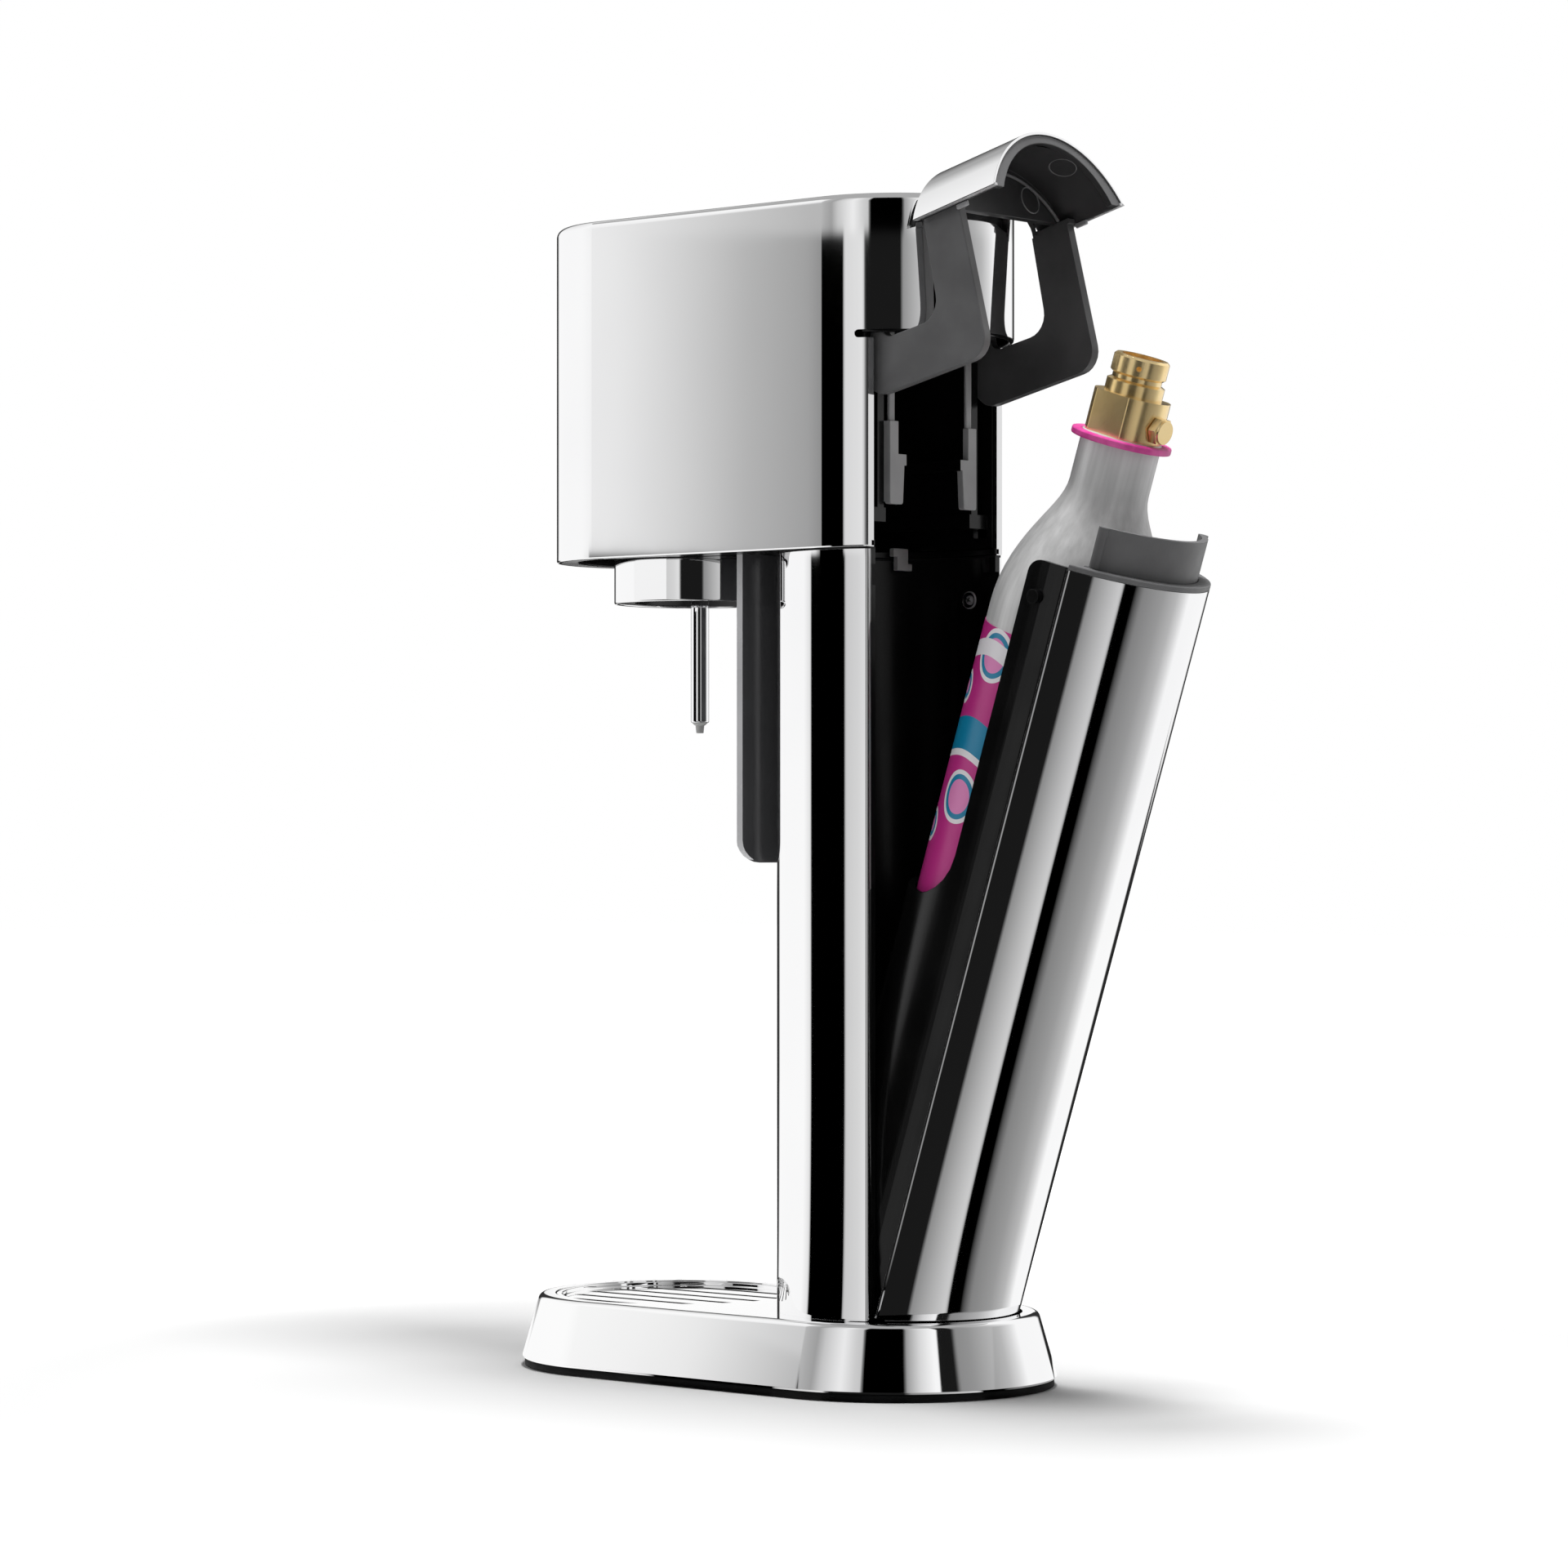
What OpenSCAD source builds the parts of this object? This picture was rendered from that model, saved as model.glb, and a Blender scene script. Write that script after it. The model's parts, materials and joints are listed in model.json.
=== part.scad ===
// Sparkling water maker with a lift-up rear lever and a tilt-out gas cylinder cover.
// +Z is up, the front faces -Y, and the origin is on the column axis at the floor.
// It stands as in use when a cylinder is changed: lever raised, rear cover tilted out.

/* [Body] */
// Radius of the round column and of the ends of the head
body_r = 42.3; // [41:0.1:44]
// Thickness of the polished steel skins
skin = 1.2; // [0.8:0.1:1.5]
// Distance behind the column axis at which the rear pieces part from the fixed ones
split_y = 18.9; // [18:0.1:19.5]
// Visible gap between fixed and moving rear pieces
split_gap = 0.6; // [0.4:0.1:1]
// Wall of the black plastic liner in the column
liner_wall = 3.4; // [2.5:0.1:4]

/* [Head] */
// Distance between the centres of the head's two round ends
head_reach = 107.4; // [104:0.1:115]
// Height of the head's lower edge above the floor
head_bottom = 296.7; // [295:0.1:298]
// Height of the head's top
head_top = 420; // [418:0.5:430]
// Rounding of the head's top edge
head_edge = 3; // [1.5:0.1:4]
// Height of the lower edge of the fixed rear half-round
lip_z = 372.3; // [372:0.1:374]
// Height of the slot under the rear half-round
slot_h = 2.8; // [2:0.1:3]
// How far the slot runs into the side walls
slot_run = 4.6; // [3:0.1:5]
// Thickness of the head's black underside
underside_t = 2.6; // [2:0.1:3]
// Wall of the inner chassis
chassis_t = 2.8; // [2.4:0.1:3]

/* [Base] */
// Radius of the base at its lower edge
base_r_low = 57.5; // [56:0.5:62]
// Radius of the base at its deck
base_r_top = 51; // [50:0.5:54]
// Distance between the centres of the base's round ends
base_reach = 104; // [102:0.5:110]
// Height of the deck
deck_z = 26.5; // [26:0.1:28]
// Rounding of the deck's edge
deck_edge = 2.5; // [1:0.1:3]
// Thickness of the base's steel
base_wall = 1.5; // [1.2:0.1:2]
// Height of the rubber feet
foot_h = 1.2; // [1:0.1:2]
// Radius of the rubber feet
foot_r = 8; // [6:0.5:10]
// Thickness of the base plate
plate_t = 3; // [2.5:0.1:3.5]

/* [Drip tray] */
// Radius of the drip tray
tray_r = 45; // [40:0.5:45.5]
// Thickness of the tray's plate
tray_t = 2; // [1.5:0.1:2.5]
// Width of the tray's rim
tray_rim = 2.2; // [1.5:0.1:3]
// Depth of the plate below the rim
tray_drop = 1.4; // [0.8:0.1:2]
// Number of drain slots
tray_slots = 6; // [4:1:8]
// Width of a drain slot
tray_slot_w = 3; // [2:0.1:4]

/* [Gas cylinder] */
// Radius of the cylinder
cyl_r = 30; // [29:0.1:30]
// Wall of the cylinder
cyl_wall = 3.5; // [2.5:0.1:5]
// Radius of the cylinder's neck
neck_r = 14; // [13:0.1:14.5]
// Length of the straight neck below the ring
neck_len = 28; // [24:0.5:32]
// Length of the shoulder
shoulder_len = 36; // [30:0.5:45]
// Height of the ring on the neck, with the cover shut
ring_z = 341.2; // [340:0.1:342]
// Radius of the ring
ring_r = 17.6; // [17:0.1:18]
// Thickness of the ring
ring_t = 2.5; // [2:0.1:3]
// Radius of the brass body
valve_r = 13.4; // [12:0.1:14]
// Height of the brass body
valve_h = 14.5; // [13:0.1:15]
// Radius of the upper part of the valve
port_r = 9.8; // [9:0.1:10.5]
// Height of the upper part of the valve
port_h = 13.6; // [12:0.1:14]
// Radius of the valve's pin
valve_pin_r = 2; // [1.5:0.1:2.5]
// Thickness of the printed sleeve
label_t = 0.25; // [0.2:0.05:0.4]

/* [Rear cover] */
// Height of the cover's lower edge, shut
cover_z0 = 29.4; // [29:0.1:30]
// Height of the cover's upper edge, shut
cover_z1 = 300; // [299:0.1:301]
// Angle by which the cover tilts out
cover_tilt = 18; // [15:0.5:18]
// Height of the cover's hinge axis
hinge_z = 22; // [21:0.1:23]
// Distance of the cover's hinge axis behind the column axis
hinge_y = 16; // [15:0.1:17]
// Radius of the cover's hinge pin
hinge_pin_r = 2.5; // [2:0.1:3]
// Wall of the tube that holds the cylinder
tube_wall = 2.5; // [2:0.1:2.8]
// Radial play of the cylinder in the tube
tube_play = 0.75; // [0.6:0.05:1]
// Height of the bottom of the tube's front window, shut
window_z = 174; // [150:1:200]
// Height of the grip tongue
tongue_h = 15.5; // [12:0.5:18]
// Radius of the grip tongue
tongue_r = 37.5; // [36:0.1:39]
// Thickness of the grip tongue
tongue_t = 2.2; // [1.8:0.1:2.6]
// Half angle that the tongue spans
tongue_half = 51; // [45:1:54]
// Thickness of the cover's top rim
rim_t = 2; // [1.5:0.1:2.5]

/* [Lever] */
// Distance of the lever's pivot behind the column axis
pivot_y = 12; // [11.8:0.1:12.2]
// Height of the lever's pivot
pivot_z = 394; // [393.8:0.1:394.4]
// Angle between the lever's shut and raised places
lever_swing = 105; // [100:1:105]
// Gap between the fixed rear half-round and the shut cap
cap_gap = 7.4; // [6:0.1:9]
// Length of the lever's cap
cap_len = 36.5; // [34:0.5:37]
// Thickness of the cap's steel
cap_skin = 1; // [0.8:0.1:1.2]
// Wall of the cap's plastic body
cap_wall = 2.4; // [2:0.1:2.6]
// Thickness of a lever arm
arm_t = 3.8; // [3:0.1:4]
// Radius of the lever's pivot pins
pivot_pin_r = 3; // [2.5:0.1:3.5]
// Radius of the hub at the pivot
hub_r = 9.5; // [9:0.1:10]
// Radius of the crank pin that lifts the sliders
crank_pin_r = 1.8; // [1.5:0.1:2]

/* [Sliders] */
// Height of the ledge that lifts the cylinder, lever raised
ledge_z = 330; // [329:0.1:331]
// Height of a slider's lower end
slider_z0 = 312.3; // [311:0.1:313]
// Height of a slider's upper end
slider_z1 = 341.5; // [340:0.1:342]
// Distance of the sliders' rear faces behind the column axis
slider_y = 17.5; // [17:0.1:18]
// Width of a slider's upper part
slider_w = 4.7; // [4:0.1:5]
// Thickness of the fork under the ring
fork_t = 4; // [3:0.1:5]
// Width of a lift rod
rod_w = 3; // [2.4:0.1:3.2]
// Thickness of a lift rod
rod_t = 1.2; // [1:0.1:1.6]

/* [Bottle holder] */
// Distance of the bottle's axis in front of the column axis
bottle_y = 93; // [92:0.1:95]
// Outer radius of the collar
collar_r = 31.6; // [30:0.1:33]
// Height of the collar
collar_h = 15.7; // [14:0.1:18]
// Radius of the socket for the bottle's neck
socket_r = 21; // [19:0.5:23]
// Radius of the nozzle tube
nozzle_r = 3.35; // [3:0.05:4]
// Height of the nozzle tube's lower end
nozzle_z = 237.4; // [225:0.1:250]
// Length of the nozzle's tip
tip_len = 3.9; // [3:0.1:6]
// Inner radius of the shield behind the bottle
shield_r = 43; // [42:0.1:44]
// Thickness of the shield
shield_t = 2.5; // [2:0.1:3]
// Half the width of the shield
shield_half = 22; // [20:0.5:27]
// Height of the shield's lower edge
shield_z = 186; // [160:1:210]
// Distance of the tilt axis in front of the column axis
tilt_y = 60; // [58:0.5:62]
// Height of the tilt axis
tilt_z = 311; // [310:0.5:313]
// Radius of the tilt pins
tilt_pin_r = 2.5; // [2:0.1:3]

/* [Button] */
// Radius of the button on top
button_r = 16; // [12:0.5:20]
// Thickness of the button
button_t = 6; // [5:0.1:8]
// Travel of the button
button_travel = 6; // [4:0.5:6]
// Radius of the button's stem
stem_r = 4; // [3:0.1:5]
// Distance of the rocker's pivot behind the column axis
rocker_y = 22; // [20:0.5:24]
// Height of the rocker's pivot
rocker_z = 401; // [400:0.5:402]
// Thickness of the rocker
rocker_t = 4; // [3:0.1:5]
// Half the width of the rocker
rocker_half = 5; // [4:0.1:6]
// Radius of the push pin that opens the valve
push_pin_r = 1.6; // [1.2:0.1:1.9]

/* [Hidden] */
$fn = 96;
eps = 0.01;
cut = 1;
// Clearances: seats within one body, free moving faces, shafts in bores
seat_gap = 0.1;
move_gap = 0.3;
shaft_gap = 0.05;

fixed_y = split_y - split_gap / 2;
moving_y = split_y + split_gap / 2;
inner_r = body_r - skin;
liner_out = inner_r - seat_gap;
liner_in = liner_out - liner_wall;

plate_z = foot_h;
plate_top = plate_z + plate_t;
shell_lap = 1.2;
shell_z = plate_top - shell_lap;
deck_under = deck_z - base_wall;
plate_inset = 1;
// Place that the tilted cover's heel reaches at the deck, and the pocket round it
heel_run = body_r - hinge_y;
heel_rise = deck_z - hinge_z + heel_run * sin(cover_tilt);
heel_y = hinge_y + heel_run * cos(cover_tilt) + heel_rise * tan(cover_tilt);
pocket_room = 1.2;
pocket_r = body_r + pocket_room;
pocket_shift = heel_y + pocket_room / 2 - pocket_r;
well_wall = 1.5;
knuckle_wall = 2.5;
knuckle_r = hinge_pin_r + knuckle_wall;
knuckle_x0 = 15;
knuckle_w = 8;
hinge_ear_t = 4;
hinge_ear_rise = 1.5;

seam_h = 0.8;
seam_in = 0.7;
mouth_run = 12;
column_top = head_bottom - seam_h;
underside_top = head_bottom + underside_t;
shield_room = 3;

tube_in = cyl_r + label_t + tube_play;
tube_out = tube_in + tube_wall;
tube_short = 0.5;
tube_z1 = cover_z1 - tube_short;
tube_corner = 5;
window_round = 18;
peg_r = 2.5;
peg_len = 2;
peg_y = 6;
peg_drop = 13;
peg_z = cover_z1 - peg_drop;
pad_t = 2.5;
pad_inset = 6;
floor_t = 2.1;
cyl_z0 = cover_z0 + floor_t + pad_t;
neck_z1 = ring_z + ring_t + 0.1;
shoulder_z1 = ring_z - neck_len;
shoulder_z0 = shoulder_z1 - shoulder_len;
bottom_edge = 7;
valve_z0 = neck_z1;
port_z0 = valve_z0 + valve_h;
port_z1 = port_z0 + port_h;
valve_bore = valve_pin_r + shaft_gap;

cap_z1 = lip_z - cap_gap;
cap_z0 = cap_z1 - cap_len;
cap_out = body_r - cap_skin;
cap_in = cap_out - cap_wall;
cap_back_in = 10;
cap_back_t = 2.5;
cap_back_z = cap_z1 - cap_back_in;
body_inset = 0.6;
body_short = 1.4;
back_edge = 1;
cap_web_t = 2;
cap_web_rise = 15.7;
cap_web_steps = 16;
cap_lip_t = 2.4;
cap_lip_side = 4.5;
cap_lip_rise = 4;
arm_lap = 1.6;
arm_end_y = moving_y + arm_lap;
arm_out = sqrt(cap_in * cap_in - arm_end_y * arm_end_y) - seat_gap;
arm_in = arm_out - arm_t;
arm_side_gap = 1.2;
plate_x0 = arm_out + arm_side_gap;
plate_x1 = plate_x0 + chassis_t;

ledge_gap = 0.4;
lift = ring_z - ledge_z - ledge_gap;
crank_r = lift / (2 * sin(lever_swing / 2));
crank_y = pivot_y - crank_r * cos(lever_swing / 2);
crank_z = pivot_z - lift / 2;
ring_room = 2.2;
slider_x1 = ring_r + slider_w + ring_room;
slider_x0 = slider_x1 - slider_w;
neck_room = 1.3;
ledge_x0 = neck_r + neck_room;
fin_x0 = slider_x1 + move_gap;
fin_x1 = arm_in - 2 * move_gap;
rod_inset = 1.2;
rod_sink = 1.3;
rod_x = slider_x1 - rod_w / 2 - rod_inset;
rod_y = slider_y - rod_sink - rod_t / 2;
bulkhead_gap = 1;
bulkhead_y = shield_r + shield_t - bottle_y + bulkhead_gap + chassis_t;
slider_gap = 1.3;
ledge_top = slider_z0 - slider_gap;
ledge_t = 5;

port_gap = 1.6;
block_z0 = port_z1 + port_gap;
block_h = 16.5;
block_r = 15;
shelf_z = block_z0 + block_h;
shelf_t = 3.5;
shelf_half = slider_x0 - 1.6;
rocker_ear_t = 3.4;
rocker_pin_r = 2;
push_z1 = rocker_z - rocker_t / 2;
stem_z0 = rocker_z + rocker_t / 2 + move_gap;
housing_t = 1.8;
spring_shut = 1.9;
housing_z0 = head_top - button_t - button_travel - spring_shut - housing_t;

carrier_z0 = head_bottom;
carrier_t = 5.3;
carrier_top = carrier_z0 + carrier_t;
opening_room = 5.4;
opening_r = collar_r + opening_room;
lobe_back = 3.4;
opening_y = head_reach - lobe_back;
lug_wall = 3;
lug_r = tilt_pin_r + lug_wall;
lug_x0 = 20.5;
lug_t = 5;
lug_room = 2.5;
opening_half = max(shield_half + shield_room, lug_x0 + lug_t + lug_room);
tilt_ear_x = lug_x0 + lug_t + move_gap;
tilt_ear_t = 4;
tube_rise = 6;
tube_top = carrier_top + tube_rise;

steel = "gainsboro";
black = "#161616";
dark = "#3a3a3a";
grey = "#6f6f6f";
brass = "#b8985a";

// Points of an arc that rounds the corner b between a and c
function unit(v) = v / norm(v);
function corner_arc(a, b, c, r, n) =
    let (
        u = unit(a - b),
        w = unit(c - b),
        half = acos(u * w) / 2,
        centre = b + unit(u + w) * (r / sin(half)),
        s = b + u * (r / tan(half)) - centre,
        e = b + w * (r / tan(half)) - centre,
        a0 = atan2(s.y, s.x),
        sweep = (atan2(e.y, e.x) - a0 + 540) % 360 - 180
    )
    [for (i = [0 : n]) centre + r * [cos(a0 + sweep * i / n), sin(a0 + sweep * i / n)]];

// An outline whose points are [x, y] or [x, y, corner radius]
function rounded(pts, n = 6) =
    let (m = len(pts), flat = [for (p = pts) [p.x, p.y]])
    [for (i = [0 : m - 1])
        each (len(pts[i]) > 2
            ? corner_arc(flat[(i + m - 1) % m], flat[i], flat[(i + 1) % m], pts[i][2], n)
            : [flat[i]])];

// A profile of radius and height swept round a plan with straight sides and round ends
module stadium_sweep(reach) {
    rotate_extrude(angle = 180) children();
    translate([0, -reach, 0]) rotate([0, 0, 180]) rotate_extrude(angle = 180) children();
    rotate([90, 0, 0]) linear_extrude(reach) {
        children();
        mirror([1, 0]) children();
    }
}

// A plate in a plane across X, drawn in Y and Z, from x0 to x0 + t
module across_x(x0, t) {
    translate([x0, 0, 0]) rotate([90, 0, 90]) linear_extrude(t) children();
}

// A round bar along X between x0 and x1
module bar_x(x0, x1, r) {
    translate([x0, 0, 0]) rotate([0, 90, 0]) cylinder(r = r, h = x1 - x0);
}

// The child on +X and its mirror image on -X
module both_sides() {
    children();
    mirror([1, 0, 0]) children();
}

// The part of a round wall that lies behind y_min
module rear_wall(r_out, r_in, y_min, z0, z1) {
    translate([0, 0, z0]) linear_extrude(z1 - z0) difference() {
        circle(r_out);
        circle(r_in);
        translate([-r_out - cut, y_min - 2 * r_out]) square([2 * r_out + 2 * cut, 2 * r_out]);
    }
}

// The part of a round wall that lies in front of y_max
module front_wall(r_out, r_in, y_max, z0, z1) {
    translate([0, 0, z0]) linear_extrude(z1 - z0) difference() {
        circle(r_out);
        circle(r_in);
        translate([-r_out - cut, y_max]) square([2 * r_out + 2 * cut, 2 * r_out]);
    }
}

// Places that pieces drawn shut take when the lever is raised and the cover tilted out
module lever_raised() {
    translate([0, pivot_y, pivot_z]) rotate([lever_swing, 0, 0])
        translate([0, -pivot_y, -pivot_z]) children();
}
module cover_out() {
    translate([0, hinge_y, hinge_z]) rotate([-cover_tilt, 0, 0])
        translate([0, -hinge_y, -hinge_z]) children();
}
module at_bottle() {
    translate([0, -bottle_y, 0]) children();
}

// Base
screw_places = [[34, -10], [-34, -10], [34, -45], [-34, -45]];
foot_places = [[0, 0], [38, 20], [-38, 20], [38, -124], [-38, -124]];
screw_r = 1.6;
screw_head_r = 3.2;
screw_head_h = 1.8;
screw_bite = 7;
screw_room = 2;
drive_r = 1.4;
drive_t = 1;
post_r = 4;

module base_shell() {
    color(steel) {
        difference() {
            stadium_sweep(base_reach) polygon(rounded([
                [0, shell_z], [base_r_low, shell_z], [base_r_top, deck_z, deck_edge], [0, deck_z]]));
            stadium_sweep(base_reach) polygon([
                [0, shell_z - cut], [base_r_low - base_wall, shell_z - cut],
                [base_r_top - base_wall, deck_under], [0, deck_under]]);
            translate([0, -base_reach, 0]) cylinder(r = tray_r + move_gap, h = deck_z + cut);
            cylinder(r = liner_in, h = deck_z + cut);
            translate([0, pocket_shift, 0])
                rear_wall(pocket_r, skin, hinge_y - knuckle_r - cut, 0, deck_z + cut);
        }
        for (p = screw_places) translate([p.x, p.y, plate_top]) difference() {
            cylinder(r = post_r, h = deck_under - plate_top);
            translate([0, 0, -eps]) cylinder(r = screw_r, h = screw_bite + screw_room);
        }
    }
}

module base_plate() {
    color(black) {
        difference() {
            translate([0, 0, plate_z]) linear_extrude(plate_t)
                plate_outline(base_r_low - base_wall - plate_inset);
            for (p = screw_places) translate([p.x, p.y, 0]) {
                cylinder(r = screw_head_r + move_gap, h = plate_z + screw_head_h);
                cylinder(r = screw_r + seat_gap, h = plate_top + cut);
            }
        }
        translate([0, pocket_shift, 0]) rear_wall(pocket_r + well_wall, pocket_r, 0, plate_top, deck_under);
        both_sides() difference() {
            translate([knuckle_x0 + knuckle_w + move_gap, hinge_y - knuckle_r, plate_top])
                cube([hinge_ear_t, 2 * knuckle_r, hinge_z + hinge_pin_r + hinge_ear_rise - plate_top]);
            translate([0, hinge_y, hinge_z]) bar_x(0, pocket_r, hinge_pin_r + shaft_gap);
        }
    }
}

module plate_outline(r) {
    circle(r);
    translate([0, -base_reach]) circle(r);
    translate([-r, -base_reach]) square([2 * r, base_reach]);
}

module rubber_feet() {
    color("#222222") for (p = foot_places) translate([p.x, p.y, 0]) cylinder(r = foot_r, h = foot_h);
}

module base_screws() {
    color("silver") for (p = screw_places) translate([p.x, p.y, plate_z]) difference() {
        union() {
            cylinder(r = screw_head_r, h = screw_head_h);
            cylinder(r = screw_r - shaft_gap, h = plate_t + screw_bite);
        }
        translate([0, 0, -eps]) cylinder(r = drive_r, h = drive_t, $fn = 6);
    }
}

// Column
module column_shell() {
    color(steel) front_wall(body_r, inner_r, fixed_y, deck_z, column_top);
}

rib_w = 3;
rib_h = 2.4;
rib_z0 = 60;
rib_root = 1;
rib_short = 12;
liner_head_t = 1;
liner_head_sink = 0.2;
liner_thread = 2.4;
screw_y = 4.5;
screw_drop = 14.9;
screw_z = column_top - screw_drop;

// Room at the rear of the bay for the cover's tube and pegs to swing in
module bay_mouth() {
    tube_half = tube_out + 2 * move_gap;
    peg_half = tube_half + peg_len;
    peg_room = peg_r + 4 * move_gap;
    translate([-tube_half, fixed_y - mouth_run, deck_z - cut])
        cube([2 * tube_half, body_r, lip_z - deck_z]);
    translate([-peg_half, peg_y - peg_r - 2 * move_gap, peg_z - peg_room])
        cube([2 * peg_half, body_r, 2 * peg_room]);
}

module column_liner() {
    color(black) difference() {
        union() {
            front_wall(liner_out, liner_in, fixed_y, deck_z, column_top);
            both_sides() translate([liner_in - rib_h, -rib_w, rib_z0])
                cube([rib_h + rib_root, rib_w, column_top - rib_z0 - rib_short]);
        }
        bay_mouth();
        both_sides() translate([0, screw_y, screw_z]) {
            bar_x(liner_in - screw_r, liner_in + liner_thread + 2 * seat_gap, screw_r);
            bar_x(liner_in - screw_r, liner_in - liner_head_sink, screw_head_r + seat_gap);
        }
    }
}

module liner_screws() {
    color("silver") both_sides() translate([0, screw_y, screw_z]) {
        bar_x(liner_in - liner_head_sink - liner_head_t, liner_in - liner_head_sink, screw_head_r);
        bar_x(liner_in - liner_head_t, liner_in + liner_thread, screw_r - shaft_gap);
    }
}

module seam_gasket() {
    color(black) difference() {
        front_wall(body_r - seam_in, liner_in, fixed_y, column_top, head_bottom);
        bay_mouth();
    }
}

// Head
module head_profile(r, z1, edge) {
    polygon(rounded([[0, head_bottom - (r < body_r ? cut : 0)], [r, head_bottom - (r < body_r ? cut : 0)],
        [r, z1, edge], [0, z1]]));
}

module head_shell() {
    color(steel) difference() {
        stadium_sweep(head_reach) head_profile(body_r, head_top, head_edge);
        stadium_sweep(head_reach) head_profile(inner_r, head_top - skin, max(head_edge - skin, move_gap));
        translate([-body_r - cut, fixed_y, head_bottom - cut])
            cube([2 * body_r + 2 * cut, body_r, lip_z - slot_h - head_bottom + cut]);
        translate([-body_r - cut, fixed_y - slot_run + slot_h / 2, lip_z - slot_h - eps])
            cube([2 * body_r + 2 * cut, body_r + slot_run, slot_h + eps]);
        translate([0, fixed_y - slot_run + slot_h / 2, lip_z - slot_h / 2])
            bar_x(-body_r - cut, body_r + cut, slot_h / 2);
        translate([0, -head_reach, head_top - 2 * skin]) cylinder(r = button_r + move_gap, h = 3 * skin);
    }
}

module head_underside() {
    color(black) difference() {
        translate([0, 0, head_bottom]) linear_extrude(underside_t) difference() {
            union() {
                circle(liner_out);
                translate([0, -head_reach]) circle(liner_out);
                translate([-liner_out, -head_reach]) square([2 * liner_out, head_reach]);
            }
            circle(liner_in);
            translate([-liner_out - cut, fixed_y]) square([2 * liner_out + 2 * cut, liner_out]);
            translate([0, -bottle_y]) circle(opening_r);
            translate([0, -opening_y]) circle(opening_r);
            translate([-opening_half, -bottle_y])
                square([2 * opening_half, shield_r + shield_t + shield_room / 2]);
        }
        bay_mouth();
    }
}

window_w = 6;
window_rise = 3.7;
window_z0 = underside_top + window_rise;
ledge_in = 10.2;
plate_back = 1.4;
plate_step = 2.4;
fin_back = 2.6;
fin_drop = 4;
window_back = 10;
rocker_room = 1.5;
hose_room = 0.6;
shelf_back = 6;
rocker_ear_half = 5;
rocker_ear_rise = 4.5;

module head_chassis() {
    fin_run = slider_y - fin_back - bulkhead_y;
    tilt_ear_run = tilt_y + lug_r + bulkhead_y - chassis_t;
    color(black) {
        both_sides() difference() {
            union() {
                across_x(plate_x0, chassis_t) polygon([
                    [bulkhead_y, underside_top], [fixed_y - plate_back, underside_top],
                    [fixed_y - plate_back, lip_z - slot_h], [fixed_y - plate_step, lip_z - slot_h],
                    [fixed_y - plate_step, pivot_z + hub_r], [bulkhead_y, pivot_z + hub_r]]);
                // Guide fin of the slider
                translate([fin_x0, bulkhead_y, ledge_top])
                    cube([fin_x1 - fin_x0, fin_run, lip_z - slot_h - fin_drop - ledge_top]);
                // Ledge that the guide fin stands on
                translate([plate_x0 - ledge_in, bulkhead_y, ledge_top - ledge_t])
                    cube([ledge_in + eps, fin_run, ledge_t + eps]);
                // Ear of the bottle holder's tilt pin
                translate([tilt_ear_x, -tilt_y - lug_r, underside_top])
                    cube([tilt_ear_t, tilt_ear_run + eps, tilt_z + lug_r - underside_top]);
            }
            translate([0, pivot_y, pivot_z]) bar_x(plate_x0 - cut, plate_x1 + cut, pivot_pin_r);
            translate([0, -tilt_y, tilt_z])
                bar_x(tilt_ear_x - cut, tilt_ear_x + tilt_ear_t + cut, tilt_pin_r);
            translate([plate_x0 - cut, fixed_y - window_back, window_z0])
                cube([chassis_t + 2 * cut, window_w, window_w]);
        }
        difference() {
            translate([-plate_x1, bulkhead_y - chassis_t, underside_top])
                cube([2 * plate_x1, chassis_t, pivot_z + hub_r - underside_top]);
            translate([-rocker_half - rocker_room, bulkhead_y - chassis_t - cut, shelf_z + shelf_t])
                cube([2 * (rocker_half + rocker_room), chassis_t + 2 * cut, pivot_z + hub_r - shelf_z]);
            translate([0, bulkhead_y + cut, block_z0 + block_h / 2]) rotate([90, 0, 0])
                cylinder(r = hose_r + hose_room, h = chassis_t + 2 * cut);
        }
        difference() {
            union() {
                translate([-shelf_half, bulkhead_y - eps, shelf_z])
                    cube([2 * shelf_half, rocker_y + shelf_back - bulkhead_y, shelf_t]);
                both_sides()
                    translate([rocker_half + move_gap, rocker_y - rocker_ear_half, shelf_z + shelf_t - eps])
                    cube([rocker_ear_t, 2 * rocker_ear_half, rocker_z + rocker_ear_rise - shelf_z - shelf_t]);
            }
            translate([0, 0, shelf_z - cut]) cylinder(r = push_pin_r + shaft_gap, h = shelf_t + 2 * cut);
            translate([0, rocker_y, rocker_z]) bar_x(-shelf_half, shelf_half, rocker_pin_r + seat_gap / 2);
        }
    }
}

stop_x = 23.4;
stop_w = 6;
stop_y = 20;
stop_drop = 3.9;
stop_z = column_top - stop_drop;
stop_t = 2.2;
stop_h = 8;
stop_foot_h = 2.6;
stop_top_w = 4.5;
stop_top_h = 3;

module cylinder_stop() {
    color("#b5b5b5") translate([-stop_x - stop_w, -stop_y, stop_z]) {
        cube([stop_w, stop_t, stop_h]);
        translate([stop_w - stop_t, 0, stop_h - stop_top_h]) cube([stop_top_w, stop_t, stop_top_h]);
        translate([-stop_t, 0, 0]) cube([stop_w + stop_t, stop_t, stop_foot_h]);
    }
}

// Gas path
hose_r = 3;
hose_bend = 16;
spigot_wall = 1.2;
spigot_sink = 2;
spigot_len = 8;
spigot_end = block_r - spigot_sink + spigot_len;
seal_r = port_r - 1;
seal_t = 2.2;
seal_w = 3;
seal_room = 3;

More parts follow.
